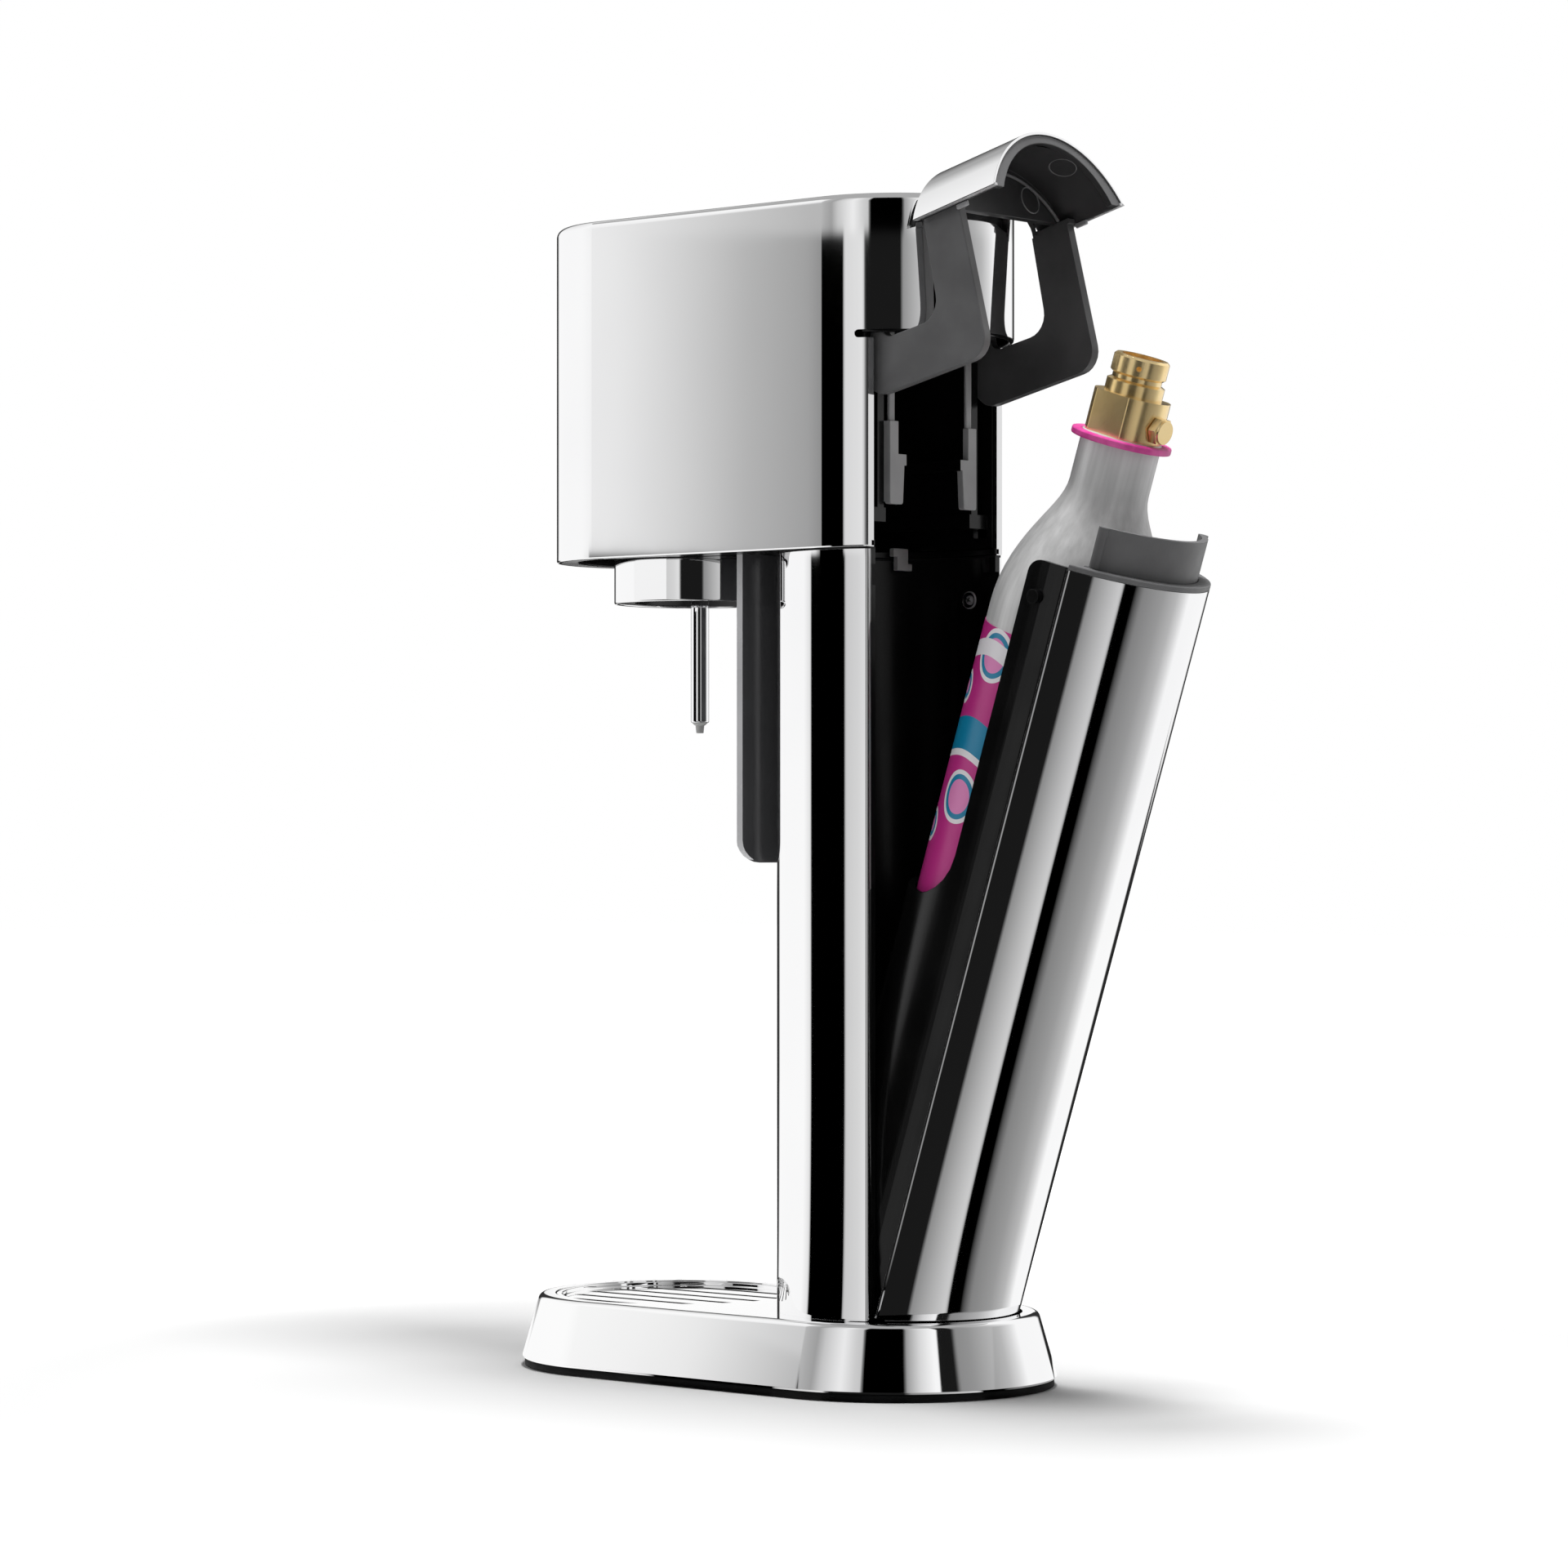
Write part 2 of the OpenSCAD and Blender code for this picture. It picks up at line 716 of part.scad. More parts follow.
module valve_block() {
    color("silver") difference() {
        union() {
            translate([0, 0, block_z0]) cylinder(r = block_r, h = block_h);
            translate([0, spigot_sink - block_r, block_z0 + block_h / 2]) rotate([90, 0, 0])
                cylinder(r = hose_r + spigot_wall, h = spigot_len);
        }
        translate([0, 0, block_z0 - cut]) cylinder(r = push_pin_r + shaft_gap, h = block_h + 2 * cut);
        translate([0, 0, block_z0 - cut]) cylinder(r = seal_r, h = seal_room + cut);
    }
}

module port_seal() {
    color("#1c1c1c") translate([0, 0, block_z0 + seal_room - seal_t]) difference() {
        cylinder(r = seal_r - shaft_gap, h = seal_t - shaft_gap);
        translate([0, 0, -cut]) cylinder(r = seal_r - seal_w, h = seal_t + 2 * cut);
    }
}

module gas_hose() {
    hose_z = block_z0 + block_h / 2;
    color("#2a2a2a") {
        translate([0, -spigot_end, hose_z]) rotate([90, 0, 0])
            cylinder(r = hose_r, h = bottle_y - hose_bend - spigot_end);
        translate([0, -bottle_y + hose_bend, hose_z - hose_bend]) rotate([0, 0, 180]) rotate([90, 0, 90])
            rotate_extrude(angle = 90) translate([hose_bend, 0]) circle(hose_r);
        translate([0, -bottle_y, tube_top]) cylinder(r = hose_r, h = hose_z - hose_bend - tube_top);
    }
}

// Pins
module lever_pivot_pins() {
    color("silver") both_sides() translate([0, pivot_y, pivot_z])
        bar_x(arm_in - back_edge, plate_x1, pivot_pin_r - shaft_gap);
}

module cover_hinge_pin() {
    pin_x = knuckle_x0 + knuckle_w + move_gap + hinge_ear_t;
    color("silver") translate([0, hinge_y, hinge_z]) bar_x(-pin_x, pin_x, hinge_pin_r);
}

module tilt_pins() {
    color("silver") both_sides() translate([0, -tilt_y, tilt_z])
        bar_x(lug_x0, tilt_ear_x + tilt_ear_t, tilt_pin_r - shaft_gap);
}

module rocker_pin() {
    color("silver") translate([0, rocker_y, rocker_z])
        bar_x(-rocker_half - rocker_ear_t, rocker_half + rocker_ear_t, rocker_pin_r);
}

// Lever, drawn shut and then raised
module lever_cap() {
    color(steel) lever_raised() rear_wall(body_r, cap_out, moving_y, cap_z0, cap_z1);
}

module lever_cap_body() {
    color(dark) lever_raised() {
        rear_wall(cap_out - eps, cap_in, moving_y, cap_z0 + body_inset, cap_z1 - body_short);
        // Lip round the open end, wider at its sides than at its top
        difference() {
            rear_wall(cap_in + eps, cap_in / 2, moving_y,
                cap_z0 + body_inset, cap_z0 + body_inset + cap_lip_t);
            translate([0, cap_lip_rise, cap_z0])
                cylinder(r = cap_in - cap_lip_side, h = body_inset + cap_lip_t + cut);
        }
        intersection() {
            translate([-arm_in + seat_gap, moving_y + back_edge, cap_back_z - cap_back_t])
                cube([2 * arm_in - 2 * seat_gap, body_r, cap_back_t]);
            cylinder(r = cap_in + eps, h = head_top);
        }
        cap_web();
    }
}

// Arched web across the front end of the cap, between the arms
module cap_web() {
    web_x = arm_in - seat_gap;
    arch = [for (i = [0 : cap_web_steps]) let (a = 180 * i / cap_web_steps)
        [web_x * cos(a), moving_y + seat_gap + cap_web_rise * sin(a)]];
    intersection() {
        translate([0, 0, cap_z1 - body_short - cap_web_t])
            linear_extrude(cap_web_t) polygon(concat(arch, [[-web_x, body_r], [web_x, body_r]]));
        cylinder(r = cap_in + eps, h = head_top);
    }
}

// Outline of a raised arm from its pivot: neck from the hub, run under the rear half-round, rise to the cap
arm_points = [
    [hub_r - 1, 0], [8, -25, 4], [33.8, -19, 8], [27, 14.4], [30.4, 15.2], [30, 16.8], [43, 20.4],
    [43.6, 18.7], [42.6, 18.4], [55.5, -33, 8], [7, -44.6, 6], [-6.5, -34, 9], [0.2 - hub_r, 0]];

module lever_arm() {
    difference() {
        union() {
            translate([0, pivot_y, pivot_z]) {
                across_x(arm_in, arm_t) polygon(rounded(arm_points));
                bar_x(arm_in, arm_out, hub_r);
            }
            translate([0, crank_y, crank_z]) bar_x(rod_x - rod_w / 2, arm_in + eps, crank_pin_r);
        }
        translate([0, pivot_y, pivot_z]) bar_x(arm_in - cut, arm_out + cut, pivot_pin_r);
    }
}

module lever_arm_right() {
    color(dark) lever_arm();
}

module lever_arm_left() {
    color(dark) mirror([1, 0, 0]) lever_arm();
}

clip_gap = 0.7;
clip_w = 3;
clip_t = 1.8;
clip_len = 5;
clip_place = 22;

module cap_clips() {
    clip_z = cap_z1 - clip_place;
    color("silver") lever_raised() both_sides()
        translate([arm_out + clip_gap, moving_y - clip_t, clip_z]) cube([clip_w, clip_t, clip_len]);
}

// Sliders that lift the cylinder by its ring
slider_depth = 4.5;
slider_t = 2.6;
flange_t = 1.8;
slider_step = 1.2;
slider_taper = 0.8;
slider_corner = 1;
fork_reach = 8;
yoke_wall = 3.2;
yoke_skin = 2;
yoke_play = 1;
yoke_slot_play = 0.65;

module lift_slider() {
    foot_x0 = ledge_x0 + slider_step;
    translate([0, slider_y, 0]) rotate([90, 0, 0]) linear_extrude(slider_t) polygon(rounded([
        [slider_x1, slider_z0, slider_corner], [slider_x1, slider_z1], [slider_x0, slider_z1],
        [slider_x0, ledge_z], [ledge_x0, ledge_z], [ledge_x0, ledge_z - fork_t],
        [foot_x0, ledge_z - fork_t], [foot_x0 + slider_taper, slider_z0, slider_corner]]));
    // Flange along the outer side, and the fork that lifts the cylinder's ring
    translate([slider_x1 - flange_t, slider_y - slider_depth, slider_z0 + slider_corner])
        cube([flange_t, slider_depth - slider_t + eps, slider_z1 - slider_z0 - slider_corner]);
    translate([ledge_x0, -fork_reach, ledge_z - fork_t])
        cube([slider_x1 - ledge_x0, slider_y + fork_reach, fork_t]);
}

module lift_slider_right() {
    color(grey) lift_slider();
}

module lift_slider_left() {
    color(grey) mirror([1, 0, 0]) lift_slider();
}

module lift_rod() {
    yoke_h = 2 * (crank_pin_r + yoke_wall);
    yoke_y0 = pivot_y - crank_r - crank_pin_r - yoke_play - yoke_skin;
    slot_half = crank_pin_r + yoke_slot_play;
    difference() {
        union() {
            translate([rod_x - rod_w / 2, rod_y - rod_t / 2, slider_z1])
                cube([rod_w, rod_t, crank_z + yoke_h / 2 - slider_z1]);
            translate([rod_x - rod_w / 2, yoke_y0, crank_z - yoke_h / 2])
                cube([rod_w, rod_y - yoke_y0, yoke_h]);
        }
        translate([rod_x - rod_w / 2 - cut, yoke_y0 + yoke_skin, crank_z - slot_half])
            cube([rod_w + 2 * cut, crank_y + crank_pin_r + yoke_play - yoke_y0 - yoke_skin, 2 * slot_half]);
    }
}

module lift_rod_right() {
    color(grey) lift_rod();
}

module lift_rod_left() {
    color(grey) mirror([1, 0, 0]) lift_rod();
}

// Rear cover, drawn shut and then tilted out
module cover_shell() {
    color(steel) cover_out() rear_wall(body_r, inner_r, moving_y, cover_z0, cover_z1);
}

module cover_tube() {
    color(black) cover_out() {
        difference() {
            translate([0, 0, cover_z0]) cylinder(r = tube_out, h = tube_z1 - cover_z0);
            translate([0, 0, cover_z0 + floor_t]) cylinder(r = tube_in, h = tube_z1);
            across_x(-tube_out - cut, 2 * tube_out + 2 * cut) polygon(rounded([
                [-tube_out - cut, window_z], [0, window_z, window_round],
                [0, cover_z1 + cut], [-tube_out - cut, cover_z1 + cut]]));
            // Rounding of the window's upper corners
            across_x(-tube_out - cut, 2 * tube_out + 2 * cut) difference() {
                translate([-cut, tube_z1 - tube_corner]) square([tube_corner + cut, tube_corner + cut]);
                translate([tube_corner, tube_z1 - tube_corner]) circle(tube_corner);
            }
        }
        both_sides() difference() {
            across_x(knuckle_x0, knuckle_w) polygon(rounded([
                [hinge_y - knuckle_r, hinge_z - knuckle_r, knuckle_r - eps],
                [hinge_y + knuckle_r, hinge_z - knuckle_r, knuckle_r - eps],
                [hinge_y + knuckle_r, cover_z0 + eps], [hinge_y - knuckle_r, cover_z0 + eps]]));
            translate([0, hinge_y, hinge_z]) bar_x(0, body_r, hinge_pin_r + shaft_gap);
        }
    }
}

// Strips that carry the steel shell on the tube, with the cover's foot
frame_t = 2.4;
frame_foot = 3;
frame_short = 1;

module cover_frame() {
    color(black) cover_out() {
        difference() {
            rear_wall(inner_r - seat_gap, tube_out + seat_gap, moving_y, cover_z0, cover_z1 - frame_short);
            translate([0, 0, cover_z0 + frame_foot])
                rear_wall(inner_r + cut, cut, moving_y + frame_t, 0, cover_z1);
        }
    }
}

rim_groove = 1;
curl_r = 1.8;
curl_out = 0.5;

module cover_rim() {
    color(dark) cover_out() difference() {
        rear_wall(body_r, tube_in, moving_y, cover_z1, cover_z1 + rim_t);
        translate([0, 0, cover_z1 + rim_t - rim_groove])
            rear_wall(tongue_r + seat_gap, tongue_r - tongue_t - seat_gap, 0, 0, rim_t + cut);
    }
}

module cover_tongue() {
    color("#565656") cover_out() translate([0, 0, cover_z1 + rim_t - rim_groove]) {
        rotate([0, 0, 90 - tongue_half]) rotate_extrude(angle = 2 * tongue_half)
            translate([tongue_r - tongue_t, 0]) square([tongue_t, tongue_h]);
        // Rolled ends, which stand on the rim
        both_sides() rotate([0, 0, 90 - tongue_half])
            translate([tongue_r - tongue_t / 2 + curl_out, 0, rim_groove + seat_gap])
            cylinder(r = curl_r, h = tongue_h - rim_groove - seat_gap);
    }
}

module cover_pegs() {
    color("#1d1d1d") cover_out() both_sides() translate([0, peg_y, peg_z]) difference() {
        bar_x(tube_in, tube_out + peg_len, peg_r);
        translate([0, -peg_y, -2 * peg_r]) cylinder(r = tube_out, h = 4 * peg_r);
    }
}

module cylinder_pad() {
    color("#202020") cover_out() translate([0, 0, cover_z0 + floor_t])
        cylinder(r = cyl_r - pad_inset, h = pad_t - seat_gap);
}

// Gas cylinder, standing in the tilted cover
function shoulder(t, r0, r1) = r0 + (r1 - r0) * (1 - cos(180 * t)) / 2;
shoulder_steps = 14;
inner_neck = 9;
dish_h = 4;
dish_dip = 0.6;
dish_inset = 16;
dish_round = 6;
stand_inset = 10;
stand_round = 3;
floor_h = 8;
floor_inset = 12;
floor_edge = 4;

module gas_cylinder() {
    inner_wall_r = cyl_r - cyl_wall;
    color("#9c9c9c") cover_out() rotate_extrude() polygon(concat(
        rounded([[0, cyl_z0 + dish_h], [cyl_r - dish_inset, cyl_z0 + dish_h - dish_dip, dish_round],
            [cyl_r - stand_inset, cyl_z0, stand_round], [cyl_r, cyl_z0, bottom_edge], [cyl_r, shoulder_z0]]),
        [for (i = [1 : shoulder_steps]) let (t = i / shoulder_steps)
            [shoulder(t, cyl_r, neck_r), shoulder_z0 + t * shoulder_len]],
        [[neck_r, neck_z1], [inner_neck, neck_z1]],
        [for (i = [shoulder_steps : -1 : 0]) let (t = i / shoulder_steps)
            [shoulder(t, inner_wall_r, inner_neck), shoulder_z0 + t * shoulder_len]],
        [[inner_wall_r, cyl_z0 + floor_h + floor_edge], [cyl_r - floor_inset, cyl_z0 + floor_h],
            [0, cyl_z0 + floor_h]]));
}

label_z0 = 60;
label_gap = 6;

module cylinder_label() {
    color("#c03588") cover_out() translate([0, 0, label_z0]) difference() {
        cylinder(r = cyl_r + label_t, h = shoulder_z0 - label_gap - label_z0);
        translate([0, 0, -cut]) cylinder(r = cyl_r, h = shoulder_z0);
    }
}

module neck_ring() {
    color("#d8409a") cover_out() translate([0, 0, ring_z]) difference() {
        cylinder(r = ring_r, h = ring_t);
        translate([0, 0, -cut]) cylinder(r = neck_r + seat_gap, h = ring_t + 2 * cut);
    }
}

// Brass valve: body with two flats, stepped port, threaded shank in the neck
plug_z = 5.6;
plug_r = 5;
plug_h = 3;
plug_face_h = 0.9;
flat_x = 11.6;
port_step = 0.4;
port_edge = 0.8;
groove_in = 1.1;
groove_z0 = 5.2;
groove_z1 = 6.6;
bore_t = 5;
bore_r = port_r - 2.6;
vent_r = 0.9;
vent_z = 10;
shank_len = 14;
spring_room = 1.8;
pin_seat = 4;
pin_tail = 8;
pin_low = 1;
pin_play = 1.8;
pin_flange_t = 2;
spring_wall = 0.9;
spring_sink = 12;

module valve_body() {
    color(brass) cover_out() translate([0, 0, valve_z0]) difference() {
        union() {
            intersection() {
                cylinder(r = valve_r, h = valve_h);
                translate([-flat_x, -valve_r, 0]) cube([2 * flat_x, 2 * valve_r, valve_h]);
            }
            translate([0, 0, valve_h]) rotate_extrude() polygon([
                [0, 0], [port_r + port_step, 0], [port_r + port_step, groove_z0 - port_edge],
                [port_r - groove_in, groove_z0], [port_r - groove_in, groove_z1],
                [port_r, groove_z1 + port_edge], [port_r, port_h - port_edge], [port_r - port_edge, port_h],
                [0, port_h]]);
            translate([0, 0, -shank_len]) cylinder(r = inner_neck - 2 * seat_gap, h = shank_len);
        }
        translate([0, 0, -shank_len - cut])
            cylinder(r = valve_bore + spring_room, h = shank_len + cut + valve_h - pin_seat);
        cylinder(r = valve_bore, h = valve_h + port_h + cut);
        translate([0, 0, valve_h + port_h - bore_t]) cylinder(r = bore_r, h = bore_t + cut);
        translate([0, 0, valve_h + vent_z]) rotate([0, 90, 35]) cylinder(r = vent_r, h = port_r + cut);
    }
}

module burst_plug() {
    color("#c2a468") cover_out() translate([0, valve_r + 2 * eps, valve_z0 + plug_z]) rotate([-90, 0, 0]) {
        cylinder(r = plug_r, h = plug_h, $fn = 6);
        translate([0, 0, plug_h - eps]) cylinder(r = plug_r - plug_face_h, h = plug_face_h);
    }
}

module valve_pin() {
    color("#d0b070") cover_out() translate([0, 0, valve_z0 + valve_h - pin_tail]) {
        cylinder(r = valve_pin_r, h = port_h + pin_tail - pin_low);
        cylinder(r = valve_bore + spring_room - 2 * seat_gap - spring_wall / 2, h = pin_flange_t);
    }
}

module valve_spring() {
    spring_h = valve_h - pin_tail + spring_sink - pin_play;
    spring_r = valve_pin_r + spring_room - move_gap;
    color("silver") cover_out() translate([0, 0, valve_z0 - spring_sink]) difference() {
        cylinder(r = spring_r, h = spring_h);
        translate([0, 0, -cut]) cylinder(r = spring_r - spring_wall, h = spring_h + 2 * cut);
    }
}

// Button and the rocker that opens the cylinder's valve
button_edge = 0.8;
coil_in = 2;
coil_wall = 1;
rocker_boss = 2;
rocker_tip = 1;
push_rise = 0.4;

module carbonating_button() {
    color(steel) translate([0, -head_reach, head_top - button_t]) rotate_extrude() polygon(rounded([
        [0, 0], [button_r, 0], [button_r, button_t, button_edge], [0, button_t]]));
}

module button_stem() {
    color(dark) translate([0, -head_reach, stem_z0]) cylinder(r = stem_r, h = head_top - button_t - stem_z0);
}

module button_housing() {
    color(black) translate([0, -head_reach, housing_z0]) difference() {
        cylinder(r = button_r + move_gap + housing_t, h = head_top - skin - housing_z0);
        translate([0, 0, housing_t]) cylinder(r = button_r + move_gap, h = head_top);
        translate([0, 0, -cut]) cylinder(r = stem_r + shaft_gap, h = housing_t + 2 * cut);
    }
}

module button_spring() {
    z0 = housing_z0 + housing_t;
    color("silver") translate([0, -head_reach, z0]) difference() {
        cylinder(r = stem_r + coil_in + coil_wall, h = head_top - button_t - z0);
        translate([0, 0, -cut]) cylinder(r = stem_r + coil_in, h = head_top);
    }
}

module actuator_rocker() {
    tip_y = -head_reach - stem_r - rocker_tip;
    color("silver") difference() {
        union() {
            translate([-rocker_half, tip_y, rocker_z - rocker_t / 2])
                cube([2 * rocker_half, rocker_y - tip_y, rocker_t]);
            translate([0, rocker_y, rocker_z]) bar_x(-rocker_half, rocker_half, rocker_pin_r + rocker_boss);
        }
        translate([0, rocker_y, rocker_z])
            bar_x(-rocker_half - cut, rocker_half + cut, rocker_pin_r + shaft_gap);
    }
}

module push_pin() {
    z0 = block_z0 + push_rise;
    color("silver") translate([0, 0, z0]) cylinder(r = push_pin_r, h = push_z1 - move_gap - z0);
}

// Bottle holder
collar_edge = 1;
insert_rise = 0.5;
lead_in = 4;
claw_w = 8;
claw_t = 2;
claw_h = 3;
claw_in = 1.2;
bottle_seal_t = 3.6;
bottle_seal_in = 4;
tube_skin = 0.9;
tip_step = 1;
tip_r = 1.65;
tip_taper = 0.3;
tip_inset = 0.4;
tip_tail = 5;
relief_place = [13, -9];
relief_r = 5;
relief_h = 5;
relief_cap_r = 3.6;
relief_cap_h = 8;

module bottle_collar() {
    color(steel) at_bottle() translate([0, 0, head_bottom - collar_h]) difference() {
        rotate_extrude() polygon(rounded([
            [0, 0], [collar_r, 0, collar_edge], [collar_r, collar_h], [0, collar_h]]));
        translate([0, 0, -cut]) cylinder(r = collar_r - skin, h = collar_h + 2 * cut);
    }
}

claw_count = 3;
module collar_insert() {
    color(black) at_bottle() translate([0, 0, head_bottom - collar_h + insert_rise]) {
        difference() {
            cylinder(r = collar_r - skin - seat_gap, h = collar_h - insert_rise);
            translate([0, 0, -cut]) cylinder(r1 = socket_r + lead_in, r2 = socket_r, h = lead_in + cut);
            translate([0, 0, -cut]) cylinder(r = socket_r, h = collar_h + cut);
        }
        for (a = [0 : claw_count - 1]) rotate([0, 0, 360 / claw_count * a + 30])
            translate([socket_r - claw_in, -claw_w / 2, collar_h / 2]) cube([claw_t, claw_w, claw_h]);
    }
}

module collar_carrier() {
    color(black) difference() {
        union() {
            intersection() {
                translate([0, -bottle_y, carrier_z0]) cylinder(r = shield_r - seat_gap, h = carrier_t);
                union() {
                    translate([0, -bottle_y, carrier_z0]) cylinder(r = collar_r, h = carrier_t);
                    translate([-lug_x0 - lug_t, -bottle_y, carrier_z0])
                        cube([2 * (lug_x0 + lug_t), bottle_y, carrier_t]);
                }
            }
            both_sides() {
                translate([0, -tilt_y, tilt_z]) bar_x(lug_x0, lug_x0 + lug_t, lug_r);
                translate([lug_x0, -tilt_y - lug_r, carrier_top - eps])
                    cube([lug_t, 2 * lug_r, tilt_z - carrier_top]);
            }
        }
        both_sides() translate([0, -tilt_y, tilt_z]) bar_x(lug_x0 - cut, lug_x0 + lug_t + cut, tilt_pin_r);
        at_bottle() translate([0, 0, carrier_z0 - cut])
            cylinder(r = nozzle_r + shaft_gap, h = carrier_t + 2 * cut);
    }
}

module bottle_seal() {
    color("#2b2b2b") at_bottle() translate([0, 0, head_bottom - bottle_seal_t]) difference() {
        cylinder(r = socket_r - seat_gap - claw_in, h = bottle_seal_t);
        translate([0, 0, -cut]) cylinder(r = nozzle_r + bottle_seal_in, h = bottle_seal_t + 2 * cut);
    }
}

module nozzle_tube() {
    color("silver") at_bottle() translate([0, 0, nozzle_z]) difference() {
        cylinder(r = nozzle_r, h = tube_top - nozzle_z);
        translate([0, 0, -cut]) cylinder(r = nozzle_r - tube_skin, h = tube_top);
    }
}

module nozzle_tip() {
    color("#8a8a8a") at_bottle() translate([0, 0, nozzle_z - tip_len]) {
        cylinder(r1 = tip_r - tip_taper, r2 = tip_r, h = tip_len - tip_step);
        translate([0, 0, tip_len - tip_step])
            cylinder(r1 = tip_r + tip_taper, r2 = nozzle_r - tip_inset, h = tip_step);
        translate([0, 0, tip_len]) cylinder(r = nozzle_r - tube_skin - shaft_gap, h = tip_tail);
    }
}

module splash_shield() {
    shield_corner = 8;
    color("#3c3c3f", 0.8) at_bottle() intersection() {
        translate([0, 0, shield_z]) difference() {
            cylinder(r = shield_r + shield_t, h = carrier_top - shield_z);
            translate([0, 0, -cut]) cylinder(r = shield_r, h = carrier_top);
        }
        translate([0, shield_r + shield_t + cut, 0]) rotate([90, 0, 0]) linear_extrude(shield_r)
            polygon(rounded([[-shield_half, shield_z, shield_corner], [shield_half, shield_z, shield_corner],
                [shield_half, carrier_top], [-shield_half, carrier_top]]));
    }
}

module relief_valve() {
    color(brass) at_bottle() translate([relief_place.x, relief_place.y, carrier_top]) {
        cylinder(r = relief_r, h = relief_h, $fn = 6);
        translate([0, 0, relief_h]) cylinder(r = relief_cap_r, h = relief_cap_h);
    }
}

// Drip tray, which lifts off, and the cup under it
cup_wall = 1.6;
cup_gap = 1;
tray_z = deck_z - move_gap;
slot_margin = 6;

module drip_tray() {
    pitch = 2 * (tray_r - tray_rim) / (tray_slots + 1);
    plate_top_z = tray_z - tray_drop;
    color(steel) translate([0, -base_reach, 0]) difference() {
        translate([0, 0, plate_top_z - tray_t]) cylinder(r = tray_r, h = tray_t + tray_drop);
        translate([0, 0, plate_top_z]) cylinder(r = tray_r - tray_rim, h = tray_drop + cut);
        for (i = [1 : tray_slots]) let (
            x = -tray_r + tray_rim + i * pitch,
            run = sqrt(pow(tray_r - tray_rim, 2) - x * x) - slot_margin
        ) translate([x, 0, plate_top_z - tray_t - cut]) {
            translate([-tray_slot_w / 2, -run, 0]) cube([tray_slot_w, 2 * run, tray_t + 2 * cut]);
            for (s = [-1, 1]) translate([0, s * run, 0]) cylinder(r = tray_slot_w / 2, h = tray_t + 2 * cut);
        }
    }
}

module drip_cup() {
    z0 = plate_top + move_gap;
    color(black) translate([0, -base_reach, z0]) difference() {
        cylinder(r = tray_r - cup_gap, h = tray_z - tray_drop - tray_t - z0);
        translate([0, 0, cup_wall]) cylinder(r = tray_r - cup_gap - cup_wall, h = deck_z);
    }
}

base_shell();
base_plate();
rubber_feet();
base_screws();
column_shell();
column_liner();
seam_gasket();
liner_screws();
head_shell();
head_underside();
head_chassis();
cylinder_stop();
valve_block();
port_seal();
gas_hose();
lever_pivot_pins();
cover_hinge_pin();
tilt_pins();
rocker_pin();
lever_cap();
lever_cap_body();
lever_arm_left();
lever_arm_right();
cap_clips();
lift_slider_left();
lift_slider_right();
lift_rod_left();
lift_rod_right();
cover_shell();
cover_tube();
cover_frame();
cover_rim();
cover_tongue();
cover_pegs();
cylinder_pad();
gas_cylinder();
cylinder_label();
neck_ring();
valve_body();
burst_plug();
valve_pin();
valve_spring();
carbonating_button();
button_stem();
button_housing();
button_spring();
actuator_rocker();
push_pin();
bottle_collar();
collar_insert();
collar_carrier();
bottle_seal();
nozzle_tube();
nozzle_tip();
splash_shield();
relief_valve();
drip_tray();
drip_cup();
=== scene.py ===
import json
import math

import bmesh
import bpy
from mathutils import Matrix, Vector


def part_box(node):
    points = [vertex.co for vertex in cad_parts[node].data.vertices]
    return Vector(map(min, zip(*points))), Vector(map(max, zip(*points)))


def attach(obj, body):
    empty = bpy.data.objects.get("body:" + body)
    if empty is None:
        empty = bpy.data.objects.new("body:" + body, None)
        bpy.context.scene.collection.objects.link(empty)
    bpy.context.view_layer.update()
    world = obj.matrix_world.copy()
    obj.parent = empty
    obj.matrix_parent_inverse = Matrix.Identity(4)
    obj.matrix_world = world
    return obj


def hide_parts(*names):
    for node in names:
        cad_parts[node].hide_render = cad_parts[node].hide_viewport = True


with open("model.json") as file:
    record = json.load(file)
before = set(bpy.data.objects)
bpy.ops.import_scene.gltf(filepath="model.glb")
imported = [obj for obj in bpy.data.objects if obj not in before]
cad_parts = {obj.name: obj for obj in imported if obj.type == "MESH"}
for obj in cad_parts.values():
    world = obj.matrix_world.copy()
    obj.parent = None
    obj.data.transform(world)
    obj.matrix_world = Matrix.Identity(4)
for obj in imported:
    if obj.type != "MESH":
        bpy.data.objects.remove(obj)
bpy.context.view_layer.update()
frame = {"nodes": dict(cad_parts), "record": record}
scene = bpy.context.scene
scene.view_settings.view_transform = "Standard"


# Camera
# A level camera with a long lens, to the right of the machine and behind it, at 1.7 m. The lens is
# shifted up a little, so that upright edges stay upright in the picture.
camera_place = (1.3244, 1.0743, 0.199)
camera_aim = Vector((-0.7617, -0.6479, 0))
camera_data = bpy.data.cameras.new("camera")
camera_data.sensor_width = 36
camera_data.lens = 109.7
camera_data.shift_y = 0.0272
camera = bpy.data.objects.new("camera", camera_data)
camera.location = camera_place
camera.rotation_euler = camera_aim.to_track_quat("-Z", "Y").to_euler()
scene.collection.objects.link(camera)
scene.camera = camera


# Studio floor and world
# A matt white floor that runs into a white background. Both look plain white to the camera and
# in the steel, while the floor keeps the soft shadow of the machine.
def add_stage(bm, name, material):
    mesh = bpy.data.meshes.new(name)
    bm.to_mesh(mesh)
    bm.free()
    mesh.materials.append(material)
    stage_object = bpy.data.objects.new(name, mesh)
    scene.collection.objects.link(stage_object)
    return stage_object


